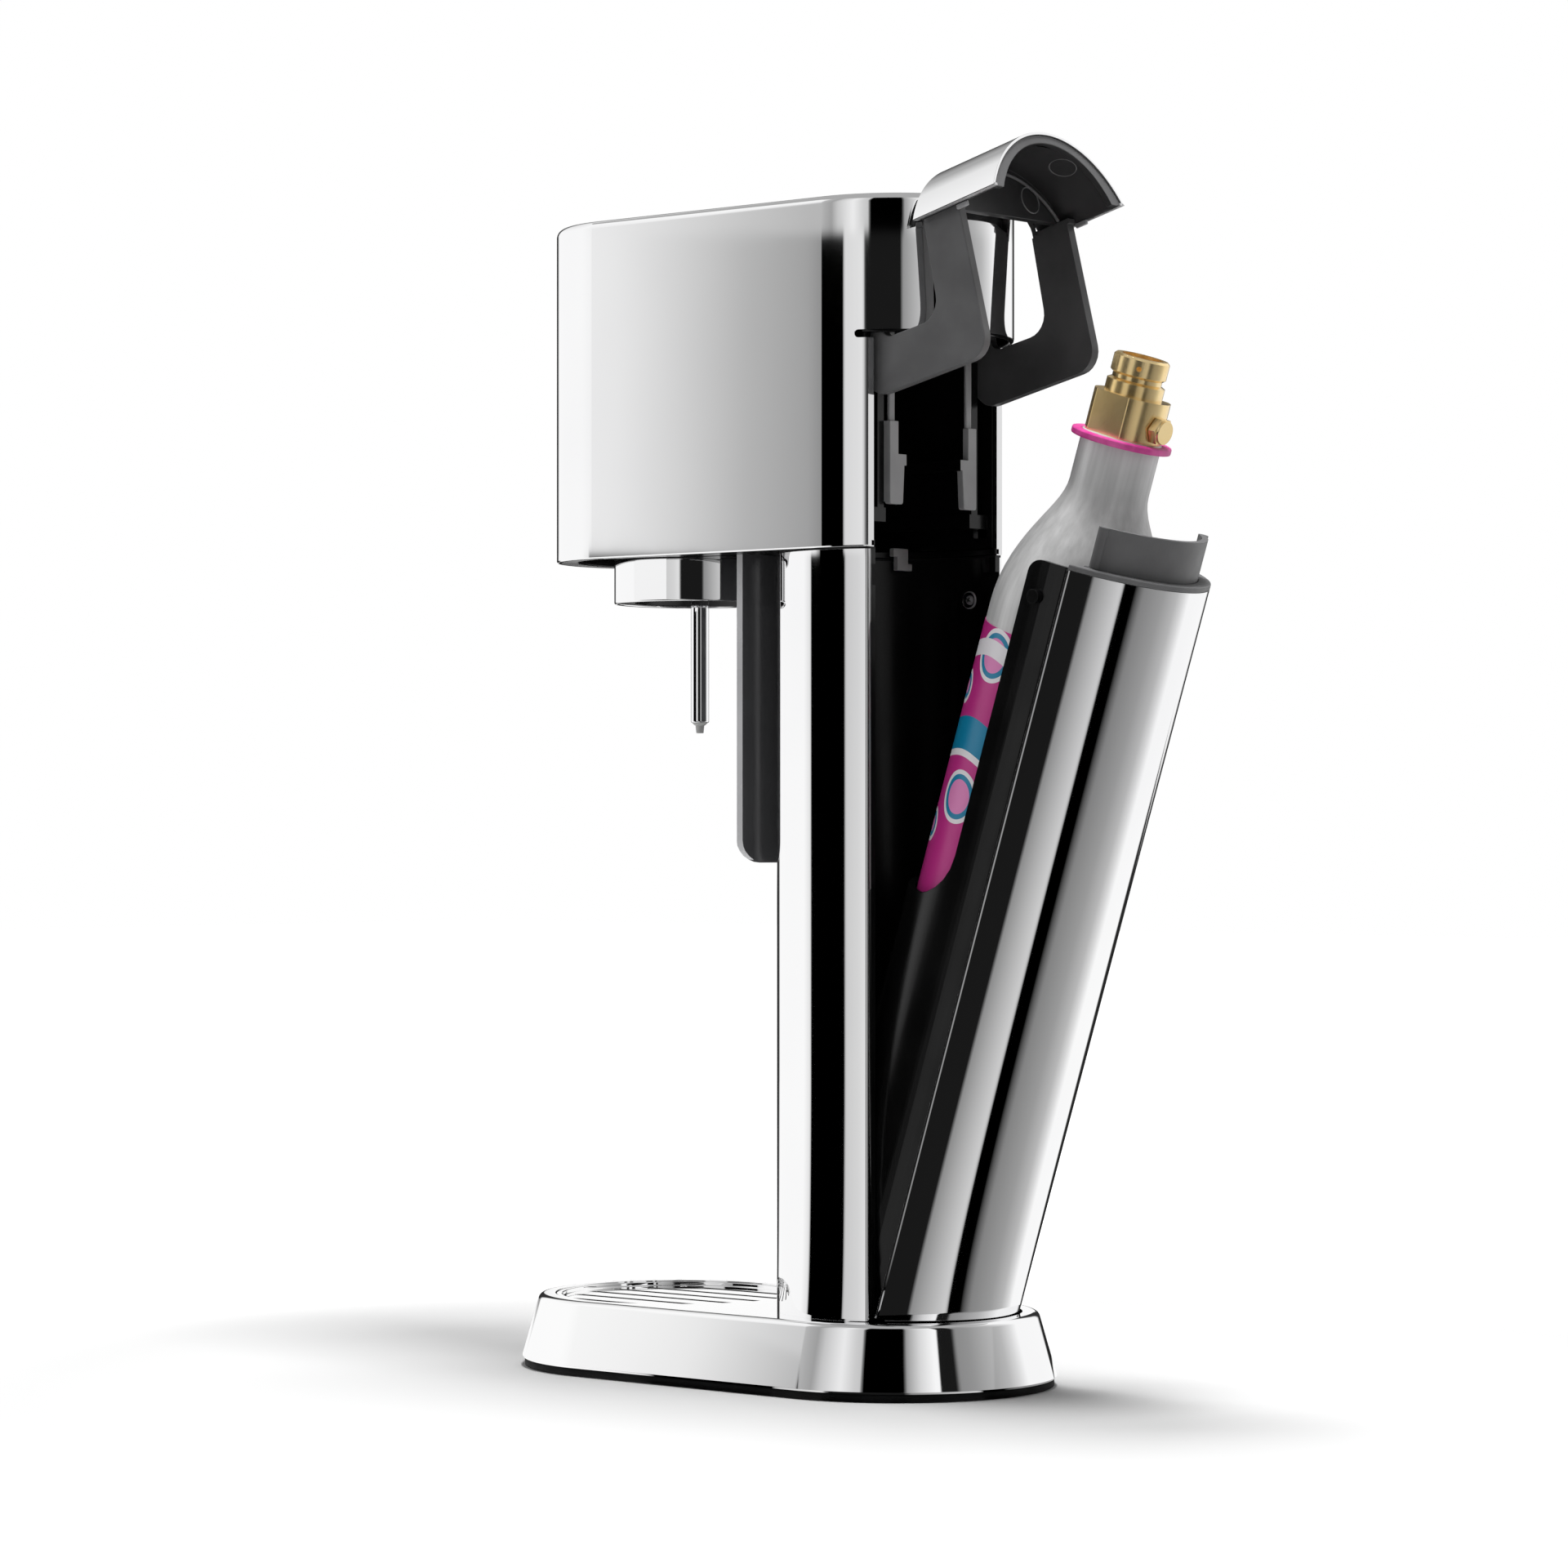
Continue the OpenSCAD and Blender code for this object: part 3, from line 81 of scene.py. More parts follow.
def seen_directly(nodes, links):
    path = nodes.new("ShaderNodeLightPath")
    either = nodes.new("ShaderNodeMath")
    either.operation = "MAXIMUM"
    links.new(path.outputs["Is Camera Ray"], either.inputs[0])
    links.new(path.outputs["Is Glossy Ray"], either.inputs[1])
    all_three = nodes.new("ShaderNodeMath")
    all_three.operation = "MAXIMUM"
    links.new(either.outputs[0], all_three.inputs[0])
    links.new(path.outputs["Is Transmission Ray"], all_three.inputs[1])
    return all_three.outputs[0]


floor_half = 6.0
floor_albedo = 0.75
floor_near, floor_far = 0.3, 0.6
floor_material = bpy.data.materials.new("studio_floor")
floor_material.use_nodes = True
nodes, links = floor_material.node_tree.nodes, floor_material.node_tree.links
floor_shader = nodes["Principled BSDF"]
floor_shader.inputs["Base Color"].default_value = (floor_albedo, floor_albedo, floor_albedo, 1)
floor_shader.inputs["Roughness"].default_value = 1
floor_shader.inputs["Specular IOR Level"].default_value = 0
floor_shader.inputs["Emission Color"].default_value = (1, 1, 1, 1)
where = nodes.new("ShaderNodeTexCoord")
away = nodes.new("ShaderNodeVectorMath")
away.operation = "LENGTH"
links.new(where.outputs["Object"], away.inputs[0])
rise = nodes.new("ShaderNodeMapRange")
rise.interpolation_type = "SMOOTHSTEP"
rise.inputs["From Min"].default_value = floor_near
rise.inputs["From Max"].default_value = floor_far
links.new(away.outputs["Value"], rise.inputs["Value"])
lift = nodes.new("ShaderNodeMath")
lift.operation = "MULTIPLY"
links.new(seen_directly(nodes, links), lift.inputs[0])
links.new(rise.outputs[0], lift.inputs[1])
links.new(lift.outputs[0], floor_shader.inputs["Emission Strength"])
bm = bmesh.new()
bmesh.ops.create_grid(bm, x_segments=1, y_segments=1, size=floor_half)
add_stage(bm, "studio_floor", floor_material)

ambient = 0.19
world = bpy.data.worlds.new("studio")
world.use_nodes = True
nodes, links = world.node_tree.nodes, world.node_tree.links
backdrop = nodes["Background"]
backdrop.inputs["Color"].default_value = (1, 1, 1, 1)
strength = nodes.new("ShaderNodeMapRange")
strength.inputs["To Min"].default_value = ambient
strength.inputs["To Max"].default_value = 1
links.new(seen_directly(nodes, links), strength.inputs["Value"])
links.new(strength.outputs[0], backdrop.inputs["Strength"])
scene.world = world


# Lamps
# Two softboxes overhead, which set the soft shadow before and behind the machine, and two wider ones
# that fill from the camera's left and right. Neither the camera nor the steel sees them.
machine_middle = Vector((0, -0.02, 0.2))
softboxes = (
    ("softbox_near", (0.06, 0.21, 1.35), 0.26, 11.5),
    ("softbox_far", (-0.13, -0.1, 1.35), 0.3, 10.5),
    ("softbox_left", (1.3, -0.7, 0.9), 0.9, 3),
    ("softbox_right", (0.1, 1.6, 0.9), 0.9, 3))
for name, place, size, watts in softboxes:
    lamp = bpy.data.lights.new(name, "AREA")
    lamp.shape = "SQUARE"
    lamp.size = size
    lamp.energy = watts
    softbox = bpy.data.objects.new(name, lamp)
    softbox.location = place
    softbox.rotation_euler = (machine_middle - Vector(place)).to_track_quat("-Z", "Y").to_euler()
    softbox.visible_camera = False
    softbox.visible_glossy = False
    scene.collection.objects.link(softbox)


# Flags and cards round the set
# A round wall and the floor as the steel sees them: white cards with black flags between them, each
# with its direction round the column in degrees and its shade. Only reflections see them.
wall_r = 2.0
wall_h = 2.4
wall_sides = 180
floor_gap = 0.0005
floor_to, floor_blur = 0.002, 0.001
deck_from, deck_to, deck_blur = 0.165, 0.275, 0.015
head_from, head_blur = 0.4065, 0.002
high_from, high_blur = 0.652, 0.004
top_from, top_blur = 1.25, 0.35
ceiling_from, ceiling_blur = wall_h - 0.01, 0.005
ceiling_shade = 0.42
side_stops = [
    (-60, 1.0), (-51, 0.8), (-49.5, 0.0), (-11, 0.0), (-9.5, 0.62), (4, 0.7), (11, 0.8), (13, 0.01),
    (42.5, 0.01), (45, 0.28), (69, 0.62), (71.5, 0.62), (72.5, 0.0), (83, 0.0), (86, 0.09), (92, 0.24),
    (113, 0.34), (130, 0.5), (140, 0.72), (150, 1.0)]
floor_stops = [(-176, 1.0), (-172, 0.02), (-118, 0.02), (-112, 1.0)] + side_stops
low_stops = [(-168, 1.0), (-162, 0.03), (-117, 0.03), (-112, 1.0)] + side_stops
deck_stops = [
    (-168, 1.0), (-162, 0.03), (-148, 0.03), (-146.5, 1.0), (-132.5, 1.0), (-131, 0.03), (-117, 0.03),
    (-112, 1.0)] + side_stops
head_stops = [
    (-168, 1.0), (-161, 0.03), (-117, 0.03), (-111, 1.0), (-60, 1.0), (-46, 0.95), (-44, 0.88),
    (-42.7, 0.77), (-41.6, 0.55), (-40.4, 0.45), (-39.3, 0.37), (-38.8, 0.0), (-12, 0.0), (-11, 0.72),
    (8, 0.8), (10, 0.01), (44, 0.01), (46, 0.3)] + side_stops[10:]
high_stops = [
    (-170, 1.0), (-161, 0.03), (-117, 0.03), (-111, 1.0), (-60, 1.0), (-44.5, 0.92), (-42, 0.7),
    (-39.5, 0.5), (-25, 0.37), (-18, 0.6), (-2, 0.9), (8, 0.66), (13, 0.6), (14.5, 0.0), (46, 0.0),
    (47, 0.32), (58, 0.73), (69, 1.0), (72, 1.0), (73, 0.01), (85, 0.01), (88, 0.27), (99, 0.31),
    (110, 0.4), (122, 0.5), (135, 0.7), (150, 1.0)]
top_stops = [(-170, 1.0), (-155, 0.42), (-122, 0.42), (-105, 0.85), (-60, 1.0)] + high_stops[5:]


def glowing(name):
    material = bpy.data.materials.new(name)
    material.use_nodes = True
    nodes, links = material.node_tree.nodes, material.node_tree.links
    nodes.remove(nodes["Principled BSDF"])
    glow = nodes.new("ShaderNodeEmission")
    links.new(glow.outputs[0], nodes["Material Output"].inputs["Surface"])
    return material, nodes, links, glow.inputs["Color"]


def reflections_only(stage_object):
    stage_object.visible_camera = False
    stage_object.visible_diffuse = False
    stage_object.visible_transmission = False
    stage_object.visible_shadow = False


card_material, nodes, links, card_colour = glowing("studio_cards")
where = nodes.new("ShaderNodeTexCoord")
parts = nodes.new("ShaderNodeSeparateXYZ")
links.new(where.outputs["Object"], parts.inputs[0])
bearing = nodes.new("ShaderNodeMath")
bearing.operation = "ARCTAN2"
links.new(parts.outputs["Y"], bearing.inputs[0])
links.new(parts.outputs["X"], bearing.inputs[1])
turn = nodes.new("ShaderNodeMapRange")
turn.inputs["From Min"].default_value = -math.pi
turn.inputs["From Max"].default_value = math.pi
links.new(bearing.outputs[0], turn.inputs["Value"])


def card_ramp(stops):
    ramp = nodes.new("ShaderNodeValToRGB")
    links.new(turn.outputs[0], ramp.inputs[0])
    points = ramp.color_ramp.elements
    while len(points) < len(stops):
        points.new(0.5)
    for point, (azimuth, shade) in zip(points, stops):
        point.position = (azimuth + 180) / 360
        point.color = (shade, shade, shade, 1)
    return ramp.outputs["Color"]


def above(height, blur, lower, stops):
    step = nodes.new("ShaderNodeMapRange")
    step.inputs["From Min"].default_value = height - blur
    step.inputs["From Max"].default_value = height + blur
    links.new(parts.outputs["Z"], step.inputs["Value"])
    mix = nodes.new("ShaderNodeMix")
    mix.data_type = "RGBA"
    links.new(step.outputs[0], mix.inputs["Factor"])
    links.new(lower, mix.inputs[6])
    links.new(card_ramp(stops), mix.inputs[7])
    return mix.outputs[2]


walls = above(floor_to, floor_blur, card_ramp(floor_stops), low_stops)
walls = above(deck_from, deck_blur, walls, deck_stops)
walls = above(deck_to, deck_blur, walls, low_stops)
walls = above(head_from, head_blur, walls, head_stops)
walls = above(high_from, high_blur, walls, high_stops)
walls = above(top_from, top_blur, walls, top_stops)
walls = above(ceiling_from, ceiling_blur, walls, [(-180, ceiling_shade), (180, ceiling_shade)])
links.new(walls, card_colour)

bm = bmesh.new()
bmesh.ops.create_cone(bm, segments=wall_sides, radius1=wall_r, radius2=wall_r, depth=wall_h,
                      matrix=Matrix.Translation((0, 0, wall_h / 2 + floor_gap)))
for level in (floor_gap, wall_h + floor_gap):
    bmesh.ops.create_circle(bm, segments=wall_sides, radius=wall_r, cap_ends=True,
                            matrix=Matrix.Translation((0, 0, level)))
reflections_only(add_stage(bm, "studio_cards", card_material))

# A small white card stands close beside the bottle collar, under the head, so that only the collar
# shows it
collar_low, collar_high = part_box("bottle_collar")
collar_r = collar_high.x
bottle_y = (collar_low.y + collar_high.y) / 2
card_shade = 0.95
card_x = collar_r + 0.0064
card_front, card_rear = bottle_y - 0.0135, bottle_y + 0.0095
card_low, card_high = collar_low.z - 0.001, collar_high.z + 0.001
small_material, nodes, links, card_colour = glowing("studio_small_card")
card_colour.default_value = (card_shade, card_shade, card_shade, 1)
bm = bmesh.new()
bm.faces.new([bm.verts.new((card_x, y, z)) for y, z in (
    (card_front, card_low), (card_rear, card_low), (card_rear, card_high), (card_front, card_high))])
reflections_only(add_stage(bm, "studio_small_card", small_material))


# Base
# A deep-drawn shell of polished steel with a sloping side and a rounded deck edge. A round hole takes
# the drip tray, and a second one lets the column and the rear cover through. It is screwed to a plate.
def tint(code):
    shares = [int(code[i:i + 2], 16) / 255 for i in (1, 3, 5)]
    return tuple(c / 12.92 if c <= 0.04045 else ((c + 0.055) / 1.055) ** 2.4 for c in shares) + (1,)


def new_group(name, inputs, outputs):
    group = bpy.data.node_groups.new(name, "ShaderNodeTree")
    for label, value in inputs:
        socket = group.interface.new_socket(label, in_out="INPUT", socket_type="NodeSocketFloat")
        socket.default_value = value
    for label in outputs:
        group.interface.new_socket(label, in_out="OUTPUT", socket_type="NodeSocketFloat")
    enter = group.nodes.new("NodeGroupInput")
    leave = group.nodes.new("NodeGroupOutput")
    return group, enter, leave


def noise_field(tree, scale_socket, factor, detail):
    where = tree.nodes.new("ShaderNodeTexCoord")
    scaled = tree.nodes.new("ShaderNodeMath")
    scaled.operation = "MULTIPLY"
    scaled.inputs[1].default_value = factor
    tree.links.new(scale_socket, scaled.inputs[0])
    noise = tree.nodes.new("ShaderNodeTexNoise")
    noise.inputs["Detail"].default_value = detail
    tree.links.new(where.outputs["Object"], noise.inputs["Vector"])
    tree.links.new(scaled.outputs[0], noise.inputs["Scale"])
    return noise.outputs[0]


# Wear and handling marks that every finish shares: cloudy roughness, a fine grain and a slow change
# of tone
handling, enter, leave = new_group(
    "handling", [("Scale", 60), ("Least", 0.3), ("Most", 0.4)], ["Roughness", "Grain", "Tone"])
mark_scale = enter.outputs["Scale"]
cloud_from, cloud_to = 0.3, 0.7
clouds = handling.nodes.new("ShaderNodeMapRange")
clouds.inputs["From Min"].default_value = cloud_from
clouds.inputs["From Max"].default_value = cloud_to
handling.links.new(noise_field(handling, mark_scale, factor=1, detail=5), clouds.inputs["Value"])
handling.links.new(enter.outputs["Least"], clouds.inputs["To Min"])
handling.links.new(enter.outputs["Most"], clouds.inputs["To Max"])
handling.links.new(clouds.outputs[0], leave.inputs["Roughness"])
handling.links.new(noise_field(handling, mark_scale, factor=30, detail=2), leave.inputs["Grain"])
handling.links.new(noise_field(handling, mark_scale, factor=0.4, detail=3), leave.inputs["Tone"])

grain_depth = 0.0002
tone_from, tone_to = 0.35, 0.65


def new_finish(slot, dark, light, rough, scale, grain, metallic=0.0, specular=0.5, name=None):
    material = bpy.data.materials.new(f"{name or slot}_finish")
    material["slot"] = slot
    material.use_nodes = True
    nodes, links = material.node_tree.nodes, material.node_tree.links
    shader = nodes["Principled BSDF"]
    shader.inputs["Metallic"].default_value = metallic
    shader.inputs["Specular IOR Level"].default_value = specular
    marks = nodes.new("ShaderNodeGroup")
    marks.name = "marks"
    marks.node_tree = handling
    marks.inputs["Scale"].default_value = scale
    marks.inputs["Least"].default_value = rough[0]
    marks.inputs["Most"].default_value = rough[1]
    tone = nodes.new("ShaderNodeValToRGB")
    tone.name = "tone"
    tone.color_ramp.elements[0].position = tone_from
    tone.color_ramp.elements[0].color = tint(dark)
    tone.color_ramp.elements[1].position = tone_to
    tone.color_ramp.elements[1].color = tint(light)
    bump = nodes.new("ShaderNodeBump")
    bump.name = "bump"
    bump.inputs["Strength"].default_value = grain
    bump.inputs["Distance"].default_value = grain_depth
    links.new(marks.outputs["Tone"], tone.inputs[0])
    links.new(tone.outputs[0], shader.inputs["Base Color"])
    links.new(marks.outputs["Roughness"], shader.inputs["Roughness"])
    links.new(marks.outputs["Grain"], bump.inputs["Height"])
    links.new(bump.outputs[0], shader.inputs["Normal"])
    return material


def wear(material, *node_names):
    for node_name in node_names:
        slots = frame["nodes"][node_name].data.materials
        slots.clear()
        slots.append(material)


def corner_arc(a, b, c, radius, steps):
    a, b, c = Vector(a), Vector(b), Vector(c)
    to_a, to_c = (a - b).normalized(), (c - b).normalized()
    half = to_a.angle(to_c) / 2
    centre = b + (to_a + to_c).normalized() * radius / math.sin(half)
    start = b + to_a * radius / math.tan(half) - centre
    end = b + to_c * radius / math.tan(half) - centre
    return [tuple(centre + start.slerp(end, k / steps).normalized() * radius) for k in range(steps + 1)]


def ring_edges(verts):
    inside = set(verts)
    return [e for e in {e for v in verts for e in v.link_edges} if inside.issuperset(e.verts)]


def stadium_loop(bm, radius, z, reach, segments=128):
    half_step = Matrix.Rotation(math.pi / segments, 4, "Z")
    loop = bmesh.ops.create_circle(
        bm, segments=segments, radius=radius, matrix=Matrix.Translation((0, 0, z)) @ half_step)["verts"]
    bmesh.ops.translate(bm, verts=[v for v in loop if v.co.y < 0], vec=(0, -reach, 0))
    return ring_edges(loop)


def bridge_up(bm, loops):
    for lower, upper in zip(loops, loops[1:]):
        bmesh.ops.bridge_loops(bm, edges=lower + upper)


def round_hole(bm, radius, y, z, segments=96):
    return bmesh.ops.create_circle(
        bm, segments=segments, radius=radius, matrix=Matrix.Translation((0, y, z)))["verts"]


weld = 1e-6
sharp_from = math.radians(32)


def add_piece(bm, name, body, material, *stands_for):
    bmesh.ops.remove_doubles(bm, verts=bm.verts, dist=weld)
    mesh = bpy.data.meshes.new(name)
    bm.to_mesh(mesh)
    bm.free()
    mesh.shade_smooth()
    mesh.set_sharp_from_angle(angle=sharp_from)
    mesh.materials.append(material)
    piece = bpy.data.objects.new(name, mesh)
    scene.collection.objects.link(piece)
    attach(piece, body)
    if stands_for:
        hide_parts(*stands_for)
    return piece


def face_out(bm, middle):
    bmesh.ops.remove_doubles(bm, verts=bm.verts, dist=weld)
    bmesh.ops.recalc_face_normals(bm, faces=bm.faces)
    middle = Vector(middle)
    if sum(f.normal.dot(f.calc_center_median() - middle) * f.calc_area() for f in bm.faces) < 0:
        bmesh.ops.reverse_faces(bm, faces=bm.faces)


def thicken(piece, wall):
    solid = piece.modifiers.new("wall", "SOLIDIFY")
    solid.thickness = wall
    solid.offset = -1
    solid.use_even_offset = True


def soften(piece, edge, segments=3, angle=35):
    bevel = piece.modifiers.new("soft_edges", "BEVEL")
    bevel.width = edge
    bevel.segments = segments
    bevel.limit_method = "ANGLE"
    bevel.angle_limit = math.radians(angle)
    bevel.use_clamp_overlap = True
    weights = piece.modifiers.new("face_normals", "WEIGHTED_NORMAL")
    weights.keep_sharp = True


polished_steel = new_finish(
    "polished_steel", "#f4f4f5", "#fbfbfb", rough=(0.015, 0.05), scale=14, grain=0.0, metallic=1.0)
black_plastic = new_finish(
    "black_plastic", "#0d0d0e", "#141415", rough=(0.45, 0.6), scale=90, grain=0.25, specular=0.3)
steel_hardware = new_finish(
    "steel_hardware", "#b4b4b6", "#cacacc", rough=(0.16, 0.28), scale=240, grain=0.1, metallic=1.0)
black_rubber = new_finish(
    "black_rubber", "#0a0a0a", "#121213", rough=(0.7, 0.85), scale=120, grain=0.4, specular=0.15)

base_low, base_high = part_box("base_shell")
base_r = base_high.x
base_reach = -base_low.y - base_r
base_middle = (0, -base_reach / 2, 0)
base_wall = 0.0015
foot_turn, foot_rise = 0.0005, 0.0007
deck_r = 0.051
deck_edge = 0.0025
tray_low, tray_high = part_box("drip_tray")
tray_hole_r = tray_high.x + 0.0003
column_hole_r = 0.0376
pocket_r = 0.0435
pocket_y = 0.00222
pocket_from = 0.0122

bm = bmesh.new()
side = [(base_r - foot_turn, base_low.z), (base_r, base_low.z + foot_rise)]
side += corner_arc((base_r, base_low.z), (deck_r, base_high.z), (0, base_high.z), deck_edge, steps=8)
loops = [stadium_loop(bm, radius, z, base_reach) for radius, z in side]
bridge_up(bm, loops)
tray_hole = round_hole(bm, tray_hole_r, -base_reach, base_high.z)
front = round_hole(bm, column_hole_r, 0, base_high.z)
rear = round_hole(bm, pocket_r, pocket_y, base_high.z)
rims = []
for arc, drop_front in ((front, False), (rear, True)):
    cut = bmesh.ops.bisect_plane(
        bm, geom=arc + ring_edges(arc), plane_co=(0, pocket_from, 0), plane_no=(0, 1, 0),
        clear_outer=not drop_front, clear_inner=drop_front)
    rims += [g for g in cut["geom"] if isinstance(g, bmesh.types.BMEdge) and g.is_valid]
ends = [v for e in rims for v in e.verts if len(v.link_edges) == 1]
steps = [bm.edges.new(pair) for pair in (
    [v for v in ends if v.co.x > 0], [v for v in ends if v.co.x < 0])]
bmesh.ops.triangle_fill(
    bm, use_beauty=True, edges=loops[-1] + ring_edges(tray_hole) + rims + steps, normal=(0, 0, 1))
face_out(bm, base_middle)
base_skin = add_piece(bm, "base_skin", "frame", polished_steel, "base_shell")
thicken(base_skin, base_wall)
soften(base_skin, edge=0.0003)

# Black band just inside the shell's lower edge: the plate's black edge, and painted shade in the gap below
band_inset = 0.0009
band_lap = 0.0004
band_wall = 0.0012
bm = bmesh.new()
band_levels = (band_lap, base_low.z + band_lap)
bridge_up(bm, [stadium_loop(bm, base_r - band_inset, z, base_reach) for z in band_levels])
face_out(bm, base_middle)
thicken(add_piece(bm, "base_band_and_gap_shade", "frame", black_rubber), band_wall)

wear(black_plastic, "base_plate")
wear(steel_hardware, "base_screws")
wear(black_rubber, "rubber_feet")


# Drip tray
# A round plate of polished steel with a raised rim and six drain slots, which rests in the deck over
# a black cup. The slots are punched, so that their edges are slightly rolled.
def dress(node_name, name, body, material, edge, segments=2):
    bm = bmesh.new()
    bm.from_mesh(frame["nodes"][node_name].data)
    bmesh.ops.remove_doubles(bm, verts=bm.verts, dist=2 * weld)
    bmesh.ops.dissolve_limit(bm, angle_limit=math.radians(0.5), verts=bm.verts, edges=bm.edges)
    bmesh.ops.recalc_face_normals(bm, faces=bm.faces)
    piece = add_piece(bm, name, body, material, node_name)
    for layer in [a for a in piece.data.attributes if a.name == "custom_normal"]:
        piece.data.attributes.remove(layer)
    soften(piece, edge, segments)
    return piece


def paint(piece, material, chosen):
    piece.data.materials.append(material)
    for face in piece.data.polygons:
        if chosen(face.center, face.normal):
            face.material_index = 1


tray_y = (tray_low.y + tray_high.y) / 2
slot_shade_r = tray_high.x - 0.006
tray = dress("drip_tray", "tray_plate", "drip_tray", polished_steel, edge=0.0003, segments=3)
# The walls of the drain slots are painted black: painted shade in the slots
paint(tray, black_plastic, lambda centre, normal: abs(normal.z) < 0.5 and math.hypot(
    centre.x, centre.y - tray_y) < slot_shade_r)
wear(black_plastic, "drip_cup")


# Column
# The front is a bent sheet of polished steel whose rear edges are turned in. Behind it stands the glossy
# black liner of the cylinder bay, held by two cross-head screws, with a small pale stop at its top.
black_gloss_plastic = new_finish(
    "black_gloss_plastic", "#070707", "#0c0c0d", rough=(0.16, 0.26), scale=40, grain=0.04, specular=0.35)
pale_grey_plastic = new_finish(
    "pale_grey_plastic", "#a9a9a8", "#b9b9b8", rough=(0.4, 0.5), scale=120, grain=0.1)
dull_steel = new_finish(
    "steel_hardware", "#a8a8aa", "#bcbcbe", rough=(0.3, 0.4), scale=240, grain=0.1, metallic=0.3,
    name="dull_steel")

column_low, column_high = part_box("column_shell")
column_r = column_high.x
column_edge_y = column_high.y
column_turned, column_bend = 0.0363, 0.0017
sheet_wall = 0.0008
sheet_edge = 0.0002


def bent_sheet(bm, radius, edge_y, keep_front, turned_to, bend, z0, z1):
    arc = bmesh.ops.create_circle(bm, segments=160, radius=radius)["verts"]
    bmesh.ops.bisect_plane(
        bm, geom=arc + ring_edges(arc), plane_co=(0, edge_y, 0), plane_no=(0, 1, 0),
        clear_outer=keep_front, clear_inner=not keep_front)
    corners = [v for v in bm.verts if len(v.link_edges) == 1]
    turned = bmesh.ops.extrude_vert_indiv(bm, verts=corners)["verts"]
    for v in turned:
        v.co.x = math.copysign(turned_to, v.co.x)
    bmesh.ops.bevel(bm, geom=corners, offset=bend, offset_type="OFFSET", segments=5, profile=0.5,
                    affect="VERTICES", material=-1)
    bmesh.ops.translate(bm, verts=bm.verts, vec=(0, 0, z0))
    grown = bmesh.ops.extrude_edge_only(bm, edges=bm.edges)["geom"]
    bmesh.ops.translate(
        bm, verts=[g for g in grown if isinstance(g, bmesh.types.BMVert)], vec=(0, 0, z1 - z0))
    face_out(bm, (0, 0, (z0 + z1) / 2))


bm = bmesh.new()
bent_sheet(bm, column_r, column_edge_y, True, column_turned, column_bend, column_low.z, column_high.z)
column_skin = add_piece(bm, "column_skin", "frame", polished_steel, "column_shell")
thicken(column_skin, sheet_wall)
soften(column_skin, sheet_edge)

dress("column_liner", "bay_liner", "frame", black_gloss_plastic, edge=0.0004)
dress("cylinder_stop", "bay_stop", "frame", pale_grey_plastic, edge=0.0003)


def lathe(bm, profile, middle, steps=96):
    start = [bm.verts.new((middle[0] + radius, middle[1], z)) for radius, z in profile]
    line = [bm.edges.new(pair) for pair in zip(start, start[1:])]
    bmesh.ops.spin(bm, geom=start + line, cent=(middle[0], middle[1], 0), axis=(0, 0, 1), dvec=(0, 0, 0),
                   angle=math.tau, steps=steps, use_merge=True, use_normal_flip=False, use_duplicate=False)
    bmesh.ops.remove_doubles(bm, verts=bm.verts, dist=weld)


def mirror_across(bm):
    bmesh.ops.mirror(bm, geom=bm.verts[:] + bm.edges[:] + bm.faces[:], axis="X", merge_dist=0)
    bmesh.ops.recalc_face_normals(bm, faces=bm.faces)


screw_low, screw_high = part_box("liner_screws")
screw_r = (screw_high.z - screw_low.z) / 2
screw_place = Vector((screw_high.x, (screw_high.y + screw_low.y) / 2, (screw_high.z + screw_low.z) / 2))
facing_in = Matrix.Translation(screw_place) @ Matrix.Rotation(-math.pi / 2, 4, "Y")
washer_h = 0.0036
washer_in = 0.0019
cross_head_r = washer_in - 0.0002
washer_profile = [
    (washer_in, 0.0), (screw_r - 0.0002, 0.0), (screw_r, washer_h - 0.0004), (screw_r - 0.0004, washer_h),
    (screw_r - 0.0008, washer_h - 0.0005), (washer_in, washer_h - 0.0007), (washer_in, 0.0)]
cross_head_profile = [
    (0, 0), (cross_head_r, 0.0), (cross_head_r, washer_h - 0.0006),
    (cross_head_r - 0.0005, washer_h - 0.0001), (0, washer_h + 0.0002)]


def add_bay_pair(profile, name, *stands_for):
    bm = bmesh.new()
    lathe(bm, profile, (0, 0), steps=40)
    face_out(bm, (0, 0, washer_h / 2))
    bmesh.ops.transform(bm, matrix=facing_in, verts=bm.verts)
    mirror_across(bm)
    return add_piece(bm, name, "frame", dull_steel, *stands_for)


washer_rim = screw_r - 0.0006
washers = add_bay_pair(washer_profile, "bay_washers")
paint(washers, black_gloss_plastic, lambda centre, normal: math.hypot(
    centre.y - screw_place.y, centre.z - screw_place.z) < washer_rim)
add_bay_pair(cross_head_profile, "bay_screw_heads", "liner_screws")

# The cross recesses in the screw heads are black blocks: painted shade in the recesses
cross_size = (0.0019, 0.0004, 0.0005)
cross_turn = 0.5
bm = bmesh.new()
for turn_angle in (cross_turn, cross_turn + math.pi / 2):
    bmesh.ops.create_cube(
        bm, size=1, matrix=facing_in @ Matrix.Translation((0, 0, washer_h))
        @ Matrix.Rotation(turn_angle, 4, "Z") @ Matrix.Diagonal((*cross_size, 1)))
mirror_across(bm)
add_piece(bm, "bay_screw_cross_shade", "frame", black_plastic)
wear(black_plastic, "seam_gasket")


# Head
# A drawn hood of polished steel with a rounded top edge. At the rear a half-round stays over a slot, and
# below it the side edges are turned in. A glossy black plate closes it from below round the bottle holder.
head_low, head_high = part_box("head_shell")
head_r = head_high.x
head_reach = -head_low.y - head_r
head_wall = 0.001
head_edge = 0.003
head_foot_turn, head_foot_rise = 0.0004, 0.0005
lip_z = 0.3723
slot_h = 0.0028
slot_low = lip_z - slot_h
slot_middle = lip_z - slot_h / 2
slot_end_y = 0.0154
head_turned = 0.0349
button_hole_r = 0.0163

